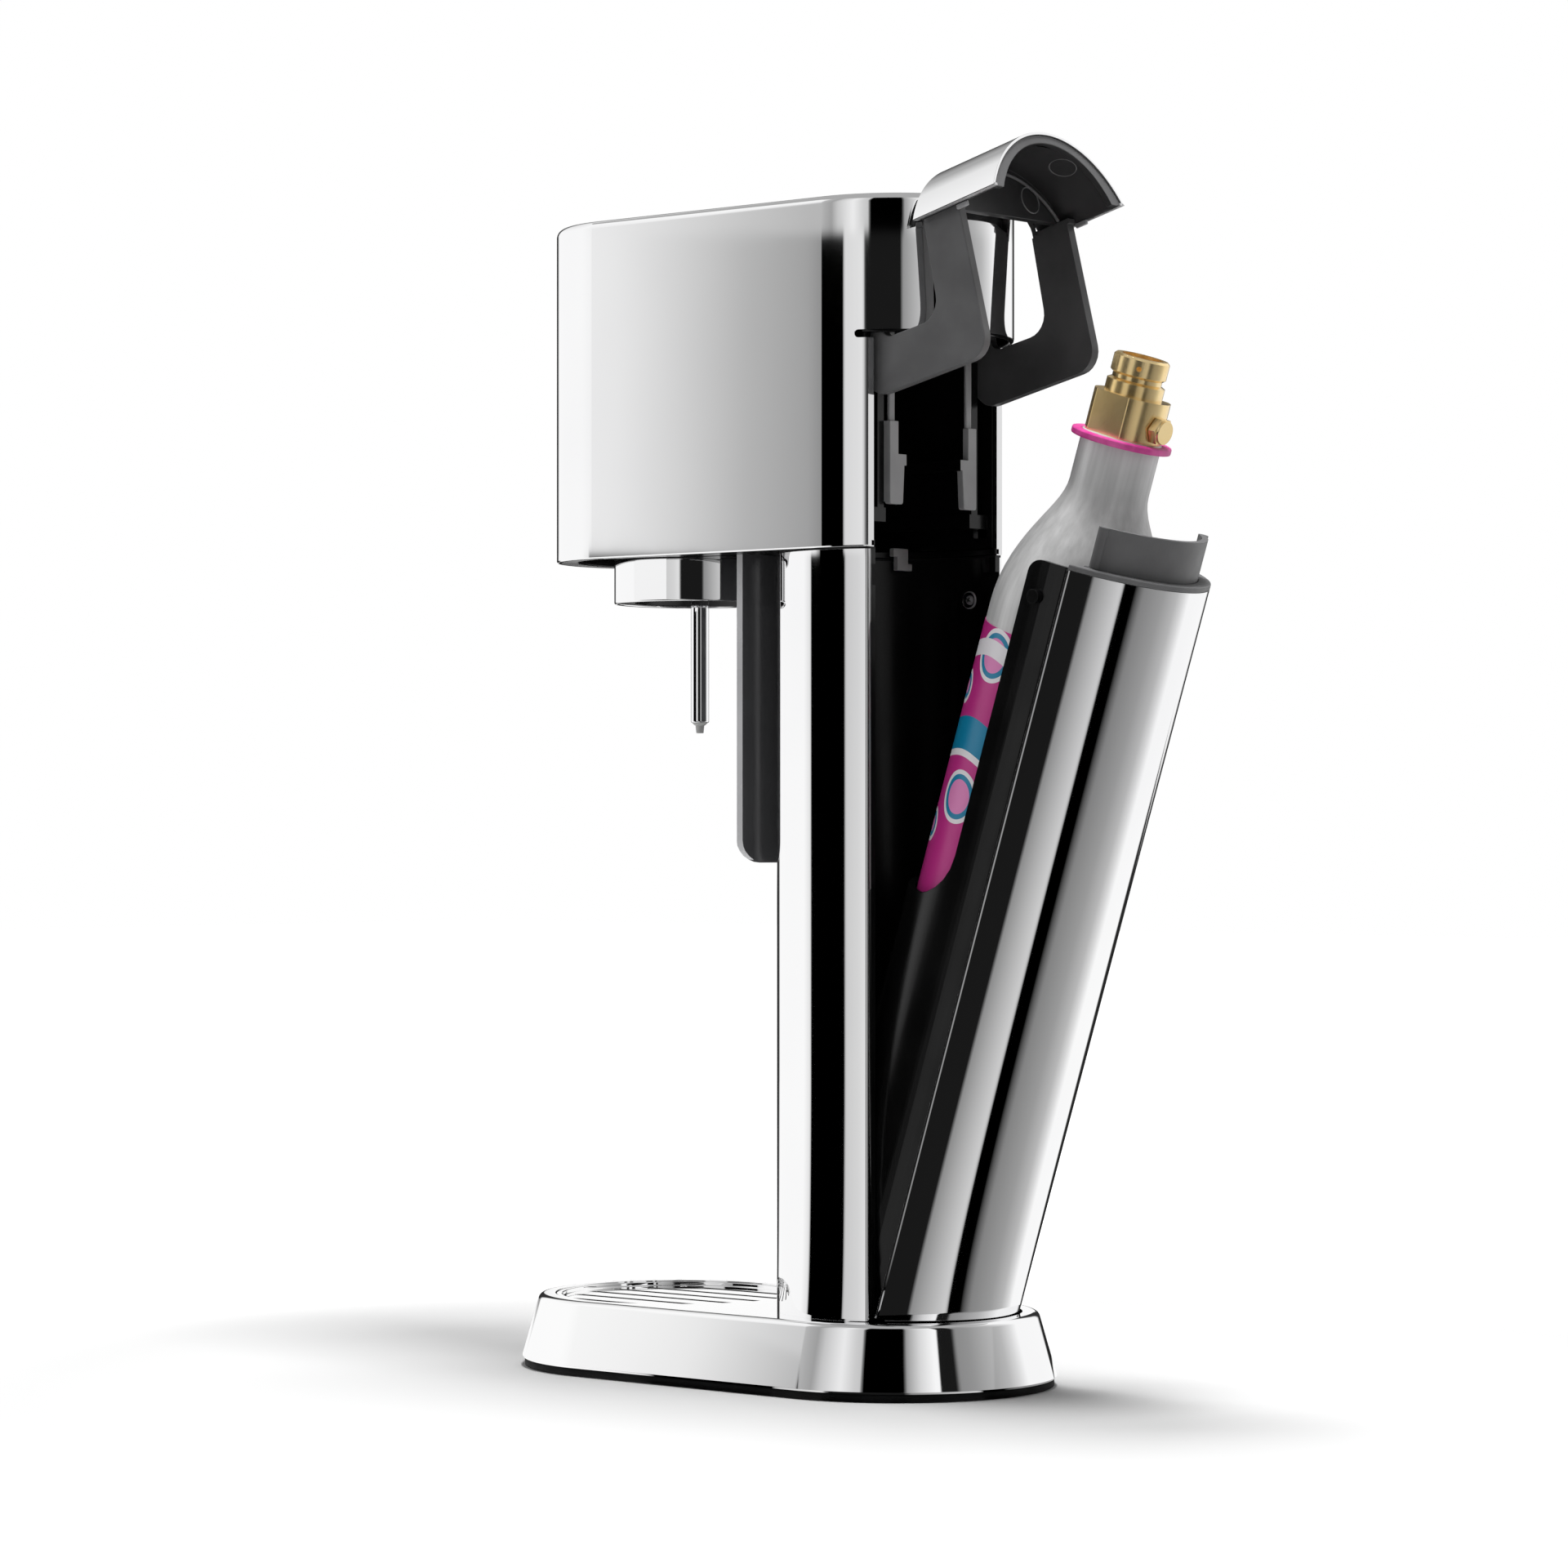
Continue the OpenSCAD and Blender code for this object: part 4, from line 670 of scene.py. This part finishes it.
bm = bmesh.new()
side = [
    (head_r - head_foot_turn, head_low.z), (head_r, head_low.z + head_foot_rise), (head_r, slot_low),
    (head_r, lip_z)]
side += corner_arc((head_r, lip_z), (head_r, head_high.z), (0, head_high.z), head_edge, steps=10)
loops = [stadium_loop(bm, radius, z, head_reach, segments=160) for radius, z in side]
bridge_up(bm, loops)
button_hole = round_hole(bm, button_hole_r, -head_reach, head_high.z)
bmesh.ops.triangle_fill(bm, use_beauty=True, edges=loops[-1] + ring_edges(button_hole), normal=(0, 0, 1))


def cut_away(bm, z0, z1, planes):
    faces = [f for f in bm.faces if z0 < f.calc_center_median().z < z1]
    for at, normal in planes:
        span = {e for f in faces for e in f.edges} | {v for f in faces for v in f.verts} | set(faces)
        cut = bmesh.ops.bisect_plane(bm, geom=list(span), plane_co=at, plane_no=normal, dist=1e-7)
        pool = {g for g in cut["geom"] if isinstance(g, bmesh.types.BMFace) and g.is_valid}
        faces = [f for f in pool if (f.calc_center_median() - Vector(at)).dot(Vector(normal)) > 0]
    bmesh.ops.delete(bm, geom=faces, context="FACES")


slot_round = [(math.cos(a), math.sin(a)) for a in map(math.radians, (-72, -36, 0, 36, 72))]
cut_away(bm, head_low.z, slot_low, [((0, column_edge_y, 0), (0, 1, 0))])
cut_away(bm, slot_low, lip_z, [
    ((0, slot_end_y - c * slot_h / 2, slot_middle + s * slot_h / 2), (0, c, -s)) for c, s in slot_round])
near = 1e-5
rear_edges = [e for e in bm.edges if e.is_boundary and all(
    abs(v.co.y - column_edge_y) < near and v.co.z < slot_low + near for v in e.verts)]
turned = bmesh.ops.extrude_edge_only(bm, edges=rear_edges)["geom"]
for v in turned:
    if isinstance(v, bmesh.types.BMVert):
        v.co.x = math.copysign(head_turned, v.co.x)
face_out(bm, (0, -head_reach / 2, (head_low.z + head_high.z) / 2))
head_skin = add_piece(bm, "head_skin", "frame", polished_steel, "head_shell")
thicken(head_skin, head_wall)
soften(head_skin, edge=0.0003)


# A black bead under the lip of the rear half-round
def swept_bead(bm, radius, z, thick, start, end, steps=48):
    ring = bmesh.ops.create_circle(
        bm, segments=12, radius=thick, matrix=Matrix.Rotation(start, 4, "Z")
        @ Matrix.Translation((radius, 0, z)) @ Matrix.Rotation(math.pi / 2, 4, "X"))["verts"]
    bmesh.ops.spin(
        bm, geom=ring + ring_edges(ring), cent=(0, 0, 0), axis=(0, 0, 1), dvec=(0, 0, 0),
        angle=end - start, steps=steps, use_merge=False, use_normal_flip=False, use_duplicate=False)
    bmesh.ops.holes_fill(bm, edges=[e for e in bm.edges if e.is_boundary], sides=0)
    bmesh.ops.recalc_face_normals(bm, faces=bm.faces)


trim_r = 0.001
trim_sink = 0.0001
trim_from = math.asin(slot_end_y / head_r) + 0.03
bm = bmesh.new()
swept_bead(bm, head_r - trim_r - trim_sink, lip_z - trim_sink, trim_r, trim_from, math.pi - trim_from)
add_piece(bm, "head_lip_trim", "frame", black_gloss_plastic)

dress("head_underside", "head_closing_plate", "frame", black_gloss_plastic, edge=0.0004)
dress("head_chassis", "head_inner_frame", "frame", black_gloss_plastic, edge=0.0003)


# Button and what it works
# A flat steel button in the top, over a sprung stem. A rocker carries its push to the pin over the
# cylinder's valve, and a hose leads the gas from the valve block to the nozzle.
dark_grey_plastic = new_finish(
    "dark_grey_plastic", "#5e5e5f", "#686869", rough=(0.38, 0.48), scale=150, grain=0.12, specular=0.4)

button_low, button_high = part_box("carbonating_button")
button_r = button_high.x
button_y = (button_low.y + button_high.y) / 2
button_edge = 0.0009
button_dish = [(button_r - 0.0024, 0), (button_r - 0.0032, 0.0004), (0.006, 0.0009), (0, 0.001)]
profile = [(0, button_low.z), (button_r, button_low.z)]
profile += corner_arc(
    (button_r, button_low.z), (button_r, button_high.z), (0, button_high.z), button_edge, steps=6)
profile += [(radius, button_high.z - depth) for radius, depth in button_dish]
bm = bmesh.new()
lathe(bm, profile, (0, button_y))
face_out(bm, (0, button_y, (button_low.z + button_high.z) / 2))
add_piece(bm, "button_cap", "button", polished_steel, "carbonating_button")

wear(dark_grey_plastic, "button_stem")
wear(black_plastic, "button_housing")
wear(steel_hardware, "button_spring", "push_pin", "valve_block", "rocker_pin", "actuator_rocker")
wear(black_rubber, "port_seal", "gas_hose")


# Lever
# A half-round grip of polished steel over a grey plastic body, on two flat grey arms. It stands raised:
# its lower edges are turned in and clipped to the body, and the open end shows the hollow inside.
edge_steel = new_finish(
    "polished_steel", "#bcbcbd", "#cacacb", rough=(0.3, 0.4), scale=60, grain=0.02, metallic=0.35,
    name="edge_steel")
# A darker copy of the dark grey arm plastic for the far arm and its corner: painted shade
far_arm_painted_shade = new_finish(
    "dark_grey_plastic", "#434344", "#4b4b4c", rough=(0.4, 0.5), scale=150, grain=0.12, specular=0.35,
    name="far_arm_painted_shade")
# A darker grey for the inside of the hollow: painted shade
hollow_painted_shade = new_finish(
    "dark_grey_plastic", "#2a2a2b", "#313132", rough=(0.3, 0.4), scale=150, grain=0.08, specular=0.4,
    name="hollow_painted_shade")

joints = {joint["name"]: joint for joint in frame["record"]["behaviour"]["joints"]}


def turned_about(axis, angle):
    return Matrix.Translation(axis) @ Matrix.Rotation(angle, 4, "X") @ Matrix.Translation(-axis)


lever_axis = Vector(joints["lever_hinge"]["pos_m"])
lever_swing = -math.radians(joints["lever_hinge"]["range_deg"][0])
raised = turned_about(lever_axis, lever_swing)
lowered = raised.inverted()
cap_r = head_r - 0.00002
cap_in = 0.0389
cap_z0, cap_z1 = 0.3284, 0.3649
cap_back_z = 0.3524
cap_edge_y = 0.0192
cap_turned, cap_bend = 0.0352, 0.0006
cap_wall = 0.0009
bm = bmesh.new()
bent_sheet(bm, cap_r, cap_edge_y, False, cap_turned, cap_bend, cap_z0, cap_z1)
bmesh.ops.transform(bm, matrix=raised, verts=bm.verts)
lever_grip = add_piece(bm, "lever_grip", "lever", polished_steel, "lever_cap")
thicken(lever_grip, cap_wall)
soften(lever_grip, sheet_edge)
paint(lever_grip, edge_steel, lambda centre, normal: (lowered.to_3x3() @ normal).y < -0.8)

# The hollow of the body is painted dark inside and the far arm darker than the near one: painted shade
hollow_r = cap_in + 0.0003
open_end_z = cap_z0 + 0.001


def in_hollow(centre, normal):
    centre, normal = lowered @ centre, lowered.to_3x3() @ normal
    at_open_end = normal.z < -0.9 and centre.z < open_end_z
    return math.hypot(centre.x, centre.y) < hollow_r and not at_open_end


grip_body = dress("lever_cap_body", "lever_grip_body", "lever", dark_grey_plastic, edge=0.0004)
paint(grip_body, hollow_painted_shade, in_hollow)
dress("lever_arm_left", "lever_left_arm", "lever", far_arm_painted_shade, edge=0.0006, segments=3)
dress("lever_arm_right", "lever_right_arm", "lever", dark_grey_plastic, edge=0.0006, segments=3)

# Corner of each arm that fills the step to the cap
corner_low, corner_high = Vector((0.0291, 0.0181, 0.3604)), Vector((0.0327, 0.0208, 0.3637))
corner_size = corner_high - corner_low
middle = (corner_low + corner_high) / 2
for hand, side_x, material in (("left", -1, far_arm_painted_shade), ("right", 1, dark_grey_plastic)):
    bm = bmesh.new()
    bmesh.ops.create_cube(
        bm, size=1, matrix=raised @ Matrix.Translation((side_x * middle.x, middle.y, middle.z))
        @ Matrix.Diagonal((*corner_size, 1)))
    add_piece(bm, f"lever_{hand}_corner", "lever", material)

# Moulded bead and ejector marks in the hollow
bead_r, bead_t = 0.0362, 0.0006
bead_from = 0.62
mark_r, mark_t = 0.0048, 0.00025
mark_end = math.tau - 0.001
back_mark = Matrix.Translation((-0.0125, 0.0265, cap_back_z - 0.0025))
ceiling_mark = (
    Matrix.Rotation(math.radians(27), 4, "Z") @ Matrix.Translation((0, cap_in - 0.0001, cap_z0 + 0.0085))
    @ Matrix.Rotation(math.pi / 2, 4, "X"))
bm = bmesh.new()
swept_bead(bm, bead_r, cap_back_z - bead_t, bead_t, bead_from, math.pi - bead_from)
for mark_place in (back_mark, ceiling_mark):
    before = set(bm.verts)
    swept_bead(bm, mark_r, 0, mark_t, 0, mark_end, steps=40)
    bmesh.ops.transform(bm, matrix=mark_place, verts=[v for v in bm.verts if v not in before])
bmesh.ops.transform(bm, matrix=raised, verts=bm.verts)
add_piece(bm, "lever_grip_marks", "lever", dark_grey_plastic)

# The clips are slim enough to pass inside the head's turned edges when the lever is shut
clip_x, clip_slim = 0.0335, 0.37
clips = dress("cap_clips", "lever_grip_clips", "lever", dull_steel, edge=0.0003)
for v in clips.data.vertices:
    v.co.x = math.copysign(clip_x + (abs(v.co.x) - clip_x) * clip_slim, v.co.x)
wear(steel_hardware, "lever_pivot_pins")


# Sliders
# Two stepped plates of mid-grey plastic, each with a flange along its outer side, that lift the cylinder
# by its ring. They hang on flat straps from the lever's cranks, and their forks run in the black chassis.
grey_plastic = new_finish("grey_plastic", "#9a9a9b", "#a4a4a5", rough=(0.36, 0.46), scale=160, grain=0.1)
# The forks, the faces in front of this line, are painted glossy black: painted shade in the dark bay
fork_painted_shade_y = 0.0095
for hand in ("left", "right"):
    plate = dress(f"lift_slider_{hand}", f"slider_block_{hand}", "lift_carriage", grey_plastic, edge=0.0005)
    paint(plate, black_gloss_plastic, lambda centre, normal: centre.y < fork_painted_shade_y)
    dress(f"lift_rod_{hand}", f"slider_rod_{hand}", "lift_carriage", grey_plastic, edge=0.0003)


# Rear cover
# The rear half of the column: a bent sheet of polished steel on a black tube with a front window. A dark
# rim closes its top, with a grey grip tongue whose ends are rolled in. It stands tilted out on its hinge.
tongue_grey_plastic = new_finish(
    "tongue_grey_plastic", "#5a5a5b", "#646465", rough=(0.36, 0.46), scale=150, grain=0.12, specular=0.4)
cover_axis = Vector(joints["cover_hinge"]["pos_m"])
cover_tilt = math.radians(-joints["cover_hinge"]["range_deg"][0])
tilted = turned_about(cover_axis, -cover_tilt)
cover_z0, cover_z1 = 0.0294, 0.3
cover_turned, cover_bend = 0.0357, 0.0009
bm = bmesh.new()
bent_sheet(bm, column_r, cap_edge_y, False, cover_turned, cover_bend, cover_z0, cover_z1)
bmesh.ops.transform(bm, matrix=tilted, verts=bm.verts)
cover_skin = add_piece(bm, "cover_skin", "rear_cover", polished_steel, "cover_shell")
thicken(cover_skin, sheet_wall)
soften(cover_skin, sheet_edge)

dress("cover_tube", "cylinder_tube", "rear_cover", black_gloss_plastic, edge=0.0005)
dress("cover_frame", "cover_strips", "rear_cover", black_gloss_plastic, edge=0.0003)
dress("cover_rim", "cover_top_rim", "rear_cover", dark_grey_plastic, edge=0.0004)
dress("cover_tongue", "cover_grip", "rear_cover", tongue_grey_plastic, edge=0.0006, segments=3)
dress("cover_pegs", "cover_snap_pegs", "rear_cover", black_gloss_plastic, edge=0.0005)
wear(steel_hardware, "cover_hinge_pin")
wear(black_rubber, "cylinder_pad")


# Gas cylinder
# A drawn aluminium bottle with a domed shoulder and a straight neck, wrapped in a printed sleeve, with
# a moulded pink ring on the neck and a turned brass valve that has two flats and a hexagonal plug.
cylinder_aluminium = new_finish(
    "cylinder_aluminium", "#e0e0e0", "#ededed", rough=(0.35, 0.5), scale=70, grain=0.08, metallic=0.3)
pink_ring = new_finish("pink_ring", "#c8358c", "#e05aa6", rough=(0.35, 0.5), scale=400, grain=0.3)
valve_brass = new_finish(
    "valve_brass", "#f7d898", "#fadfa6", rough=(0.18, 0.24), scale=160, grain=0.05, metallic=0.85)


def standing_place(material):
    nodes, links = material.node_tree.nodes, material.node_tree.links
    where = nodes.new("ShaderNodeTexCoord")
    upright = nodes.new("ShaderNodeMapping")
    upright.inputs["Rotation"].default_value = (cover_tilt, 0, 0)
    upright.inputs["Location"].default_value = cover_axis - Matrix.Rotation(cover_tilt, 3, "X") @ cover_axis
    links.new(where.outputs["Object"], upright.inputs["Vector"])
    return nodes, links, upright.outputs[0]


# Drawing streaks down the aluminium, and turning rings on the brass
streak_scale, streak_detail, streak_stretch, streak_share = 330, 4, 0.05, 0.5
nodes, links, upright = standing_place(cylinder_aluminium)
drawn = nodes.new("ShaderNodeMapping")
drawn.inputs["Scale"].default_value = (1, 1, streak_stretch)
streaks = nodes.new("ShaderNodeTexNoise")
streaks.inputs["Scale"].default_value = streak_scale
streaks.inputs["Detail"].default_value = streak_detail
streak_tone = nodes.new("ShaderNodeMix")
streak_tone.data_type = "RGBA"
streak_tone.blend_type = "MULTIPLY"
streak_tone.inputs["Factor"].default_value = streak_share
links.new(upright, drawn.inputs["Vector"])
links.new(drawn.outputs[0], streaks.inputs["Vector"])
links.new(nodes["tone"].outputs[0], streak_tone.inputs[6])
links.new(streaks.outputs[0], streak_tone.inputs[7])
links.new(streak_tone.outputs[2], nodes["Principled BSDF"].inputs["Base Color"])

ring_scale = 900
nodes, links, upright = standing_place(valve_brass)
rings = nodes.new("ShaderNodeTexWave")
rings.bands_direction = "Z"
rings.inputs["Scale"].default_value = ring_scale
links.new(upright, rings.inputs["Vector"])
links.new(rings.outputs[1], nodes["bump"].inputs["Height"])

# The sleeve's print: pink with bubbles in blue, white and pale pink, and wavy bands in white and blue
pink_print = new_finish("pink_print", "#b92a80", "#c23289", rough=(0.3, 0.38), scale=60, grain=0.03)
print_blue, print_white, print_pale = "#0b7fa6", "#e9e6ea", "#df86bd"
sleeve_r = 0.03025
bubble_size, bubble_scatter = 0.026, 0.7
bubble_least, bubble_spread = 0.2, 0.14
bubble_core, bubble_line = -0.1, 0.03
wave_rate, wave_height = 150, 0.002
wave_bands = ((0.262, 0.003, print_white), (0.231, 0.006, print_blue), (0.224, 0.0012, print_white))
nodes, links, upright = standing_place(pink_print)
parts = nodes.new("ShaderNodeSeparateXYZ")
links.new(upright, parts.inputs[0])


def work_out(operation, *values):
    step = nodes.new("ShaderNodeMath")
    step.operation = operation
    for socket, value in zip(step.inputs, values):
        if isinstance(value, (int, float)):
            socket.default_value = value
        else:
            links.new(value, socket)
    return step.outputs[0]


def over(under, colour, mask):
    layer = nodes.new("ShaderNodeMix")
    layer.data_type = "RGBA"
    links.new(mask, layer.inputs["Factor"])
    links.new(under, layer.inputs[6])
    layer.inputs[7].default_value = tint(colour)
    return layer.outputs[2]


round_way = work_out("MULTIPLY", work_out("ARCTAN2", parts.outputs["Y"], parts.outputs["X"]), sleeve_r)
flat = nodes.new("ShaderNodeCombineXYZ")
links.new(round_way, flat.inputs["X"])
links.new(parts.outputs["Z"], flat.inputs["Y"])
cells = nodes.new("ShaderNodeTexVoronoi")
cells.voronoi_dimensions = "2D"
cells.inputs["Scale"].default_value = 1 / bubble_size
cells.inputs["Randomness"].default_value = bubble_scatter
links.new(flat.outputs[0], cells.inputs["Vector"])
pick = nodes.new("ShaderNodeSeparateColor")
links.new(cells.outputs["Color"], pick.inputs[0])
bubble_r = work_out("MULTIPLY_ADD", pick.outputs["Red"], bubble_spread, bubble_least)
from_rim = work_out("SUBTRACT", cells.outputs["Distance"], bubble_r)
print_colour = nodes["tone"].outputs[0]
print_colour = over(print_colour, print_blue, work_out("LESS_THAN", from_rim, 0.0))
print_colour = over(print_colour, print_pale, work_out("LESS_THAN", from_rim, bubble_core))
print_colour = over(
    print_colour, print_white, work_out("LESS_THAN", work_out("ABSOLUTE", from_rim), bubble_line))
wave = work_out("MULTIPLY", work_out("SINE", work_out("MULTIPLY", round_way, wave_rate)), wave_height)
height = work_out("ADD", parts.outputs["Z"], wave)
for band_z, band_half, colour in wave_bands:
    offset = work_out("ABSOLUTE", work_out("SUBTRACT", height, band_z))
    print_colour = over(print_colour, colour, work_out("LESS_THAN", offset, band_half))
links.new(print_colour, nodes["Principled BSDF"].inputs["Base Color"])

# The shoulder is drawn up long, so that its upper end stands high on the neck
shoulder_z0, shoulder_z1 = 0.2772, 0.3132
shoulder_rise, shoulder_crown = 0.0125, 0.005
bottle = dress("gas_cylinder", "bottle_body", "cylinder", cylinder_aluminium, edge=0.0003)
standing = tilted.inverted()
for v in bottle.data.vertices:
    at = standing @ v.co
    if shoulder_z0 < at.z < shoulder_z1 + 0.0001:
        way_up = (at.z - shoulder_z0) / (shoulder_z1 - shoulder_z0)
        at.z += shoulder_rise * way_up + shoulder_crown * math.sin(math.pi * way_up)
        v.co = tilted @ at

sleeve = dress("cylinder_label", "bottle_sleeve", "cylinder", pink_print, edge=0.00008)
sleeve.visible_glossy = False
dress("neck_ring", "bottle_ring", "cylinder", pink_ring, edge=0.0006)
dress("valve_body", "valve_brass_body", "cylinder", valve_brass, edge=0.00025)
dress("burst_plug", "valve_plug", "cylinder", valve_brass, edge=0.0003)
wear(valve_brass, "valve_pin", "relief_valve")
wear(steel_hardware, "valve_spring")


# Bottle holder
# A polished collar round a black socket, the steel nozzle that goes into the bottle, and a smoked shield
# behind the bottle. They hang on one carrier that tips forwards.
smoke = 0.95
smoked_plastic = new_finish(
    "smoked_plastic", "#444446", "#4c4c4e", rough=(0.14, 0.2), scale=40, grain=0.03)
smoked_plastic.node_tree.nodes["Principled BSDF"].inputs["Alpha"].default_value = smoke
# A pale grey for the shield's cut edges: painted highlight
shield_edge_painted_highlight = new_finish(
    "smoked_plastic", "#cfcfd1", "#dadadc", rough=(0.2, 0.3), scale=60, grain=0.03, name="shield_edge_painted_highlight")

collar_in = collar_r - 0.0012
collar_edge, collar_in_edge = 0.0006, 0.0004
inner_low, outer_low = (collar_in, collar_low.z), (collar_r, collar_low.z)
inner_high, outer_high = (collar_in, collar_high.z), (collar_r, collar_high.z)
inner_start = (collar_in, collar_low.z + 0.0006)
profile = [inner_high, inner_start]
profile += corner_arc(inner_start, inner_low, outer_low, collar_in_edge, steps=3)
profile += corner_arc(inner_low, outer_low, outer_high, collar_edge, steps=5)
profile += [outer_high, inner_high]
bm = bmesh.new()
lathe(bm, profile, (0, bottle_y), steps=128)
face_out(bm, (0, bottle_y, 0))
add_piece(bm, "collar_ring", "bottle_holder", polished_steel, "bottle_collar")

dress("collar_insert", "collar_socket", "bottle_holder", black_gloss_plastic, edge=0.0003)
dress("collar_carrier", "holder_frame", "bottle_holder", black_gloss_plastic, edge=0.0003)

# Painted reflection: the nozzle's steel is painted dark at its edges, as a thin tube looks before a bright
# wall
painted_tube_edge_dark = "#3c3c3e"
tube_dark_from, tube_dark_to = 0.66, 0.8
tube_steel = new_finish(
    "polished_steel", "#f4f4f5", "#fbfbfb", rough=(0.03, 0.06), scale=14, grain=0.0, metallic=1.0,
    specular=0.0, name="tube_steel")
nodes, links = tube_steel.node_tree.nodes, tube_steel.node_tree.links
tube_shader = nodes["Principled BSDF"]
facing = nodes.new("ShaderNodeLayerWeight")
darkness = nodes.new("ShaderNodeMapRange")
darkness.inputs["From Min"].default_value = tube_dark_from
darkness.inputs["From Max"].default_value = tube_dark_to
links.new(facing.outputs["Facing"], darkness.inputs["Value"])
links.new(work_out("SUBTRACT", 1, darkness.outputs[0]), tube_shader.inputs["Metallic"])
tube_colour = over(nodes["tone"].outputs[0], painted_tube_edge_dark, darkness.outputs[0])
links.new(tube_colour, tube_shader.inputs["Base Color"])
dress("nozzle_tube", "nozzle", "bottle_holder", tube_steel, edge=0.0006, segments=3)
dress("nozzle_tip", "nozzle_end", "bottle_holder", pale_grey_plastic, edge=0.0003)


def on_shield_edge(centre, normal):
    outward = Vector((centre.x, centre.y - bottle_y, 0)).normalized()
    return abs(normal.dot(outward)) < 0.55 and abs(normal.z) < 0.9


# The shield's edge faces are painted pale grey: painted highlight
shield = dress("splash_shield", "shield", "bottle_holder", smoked_plastic, edge=0.0005)
paint(shield, shield_edge_painted_highlight, on_shield_edge)
wear(black_rubber, "bottle_seal")
wear(steel_hardware, "tilt_pins")
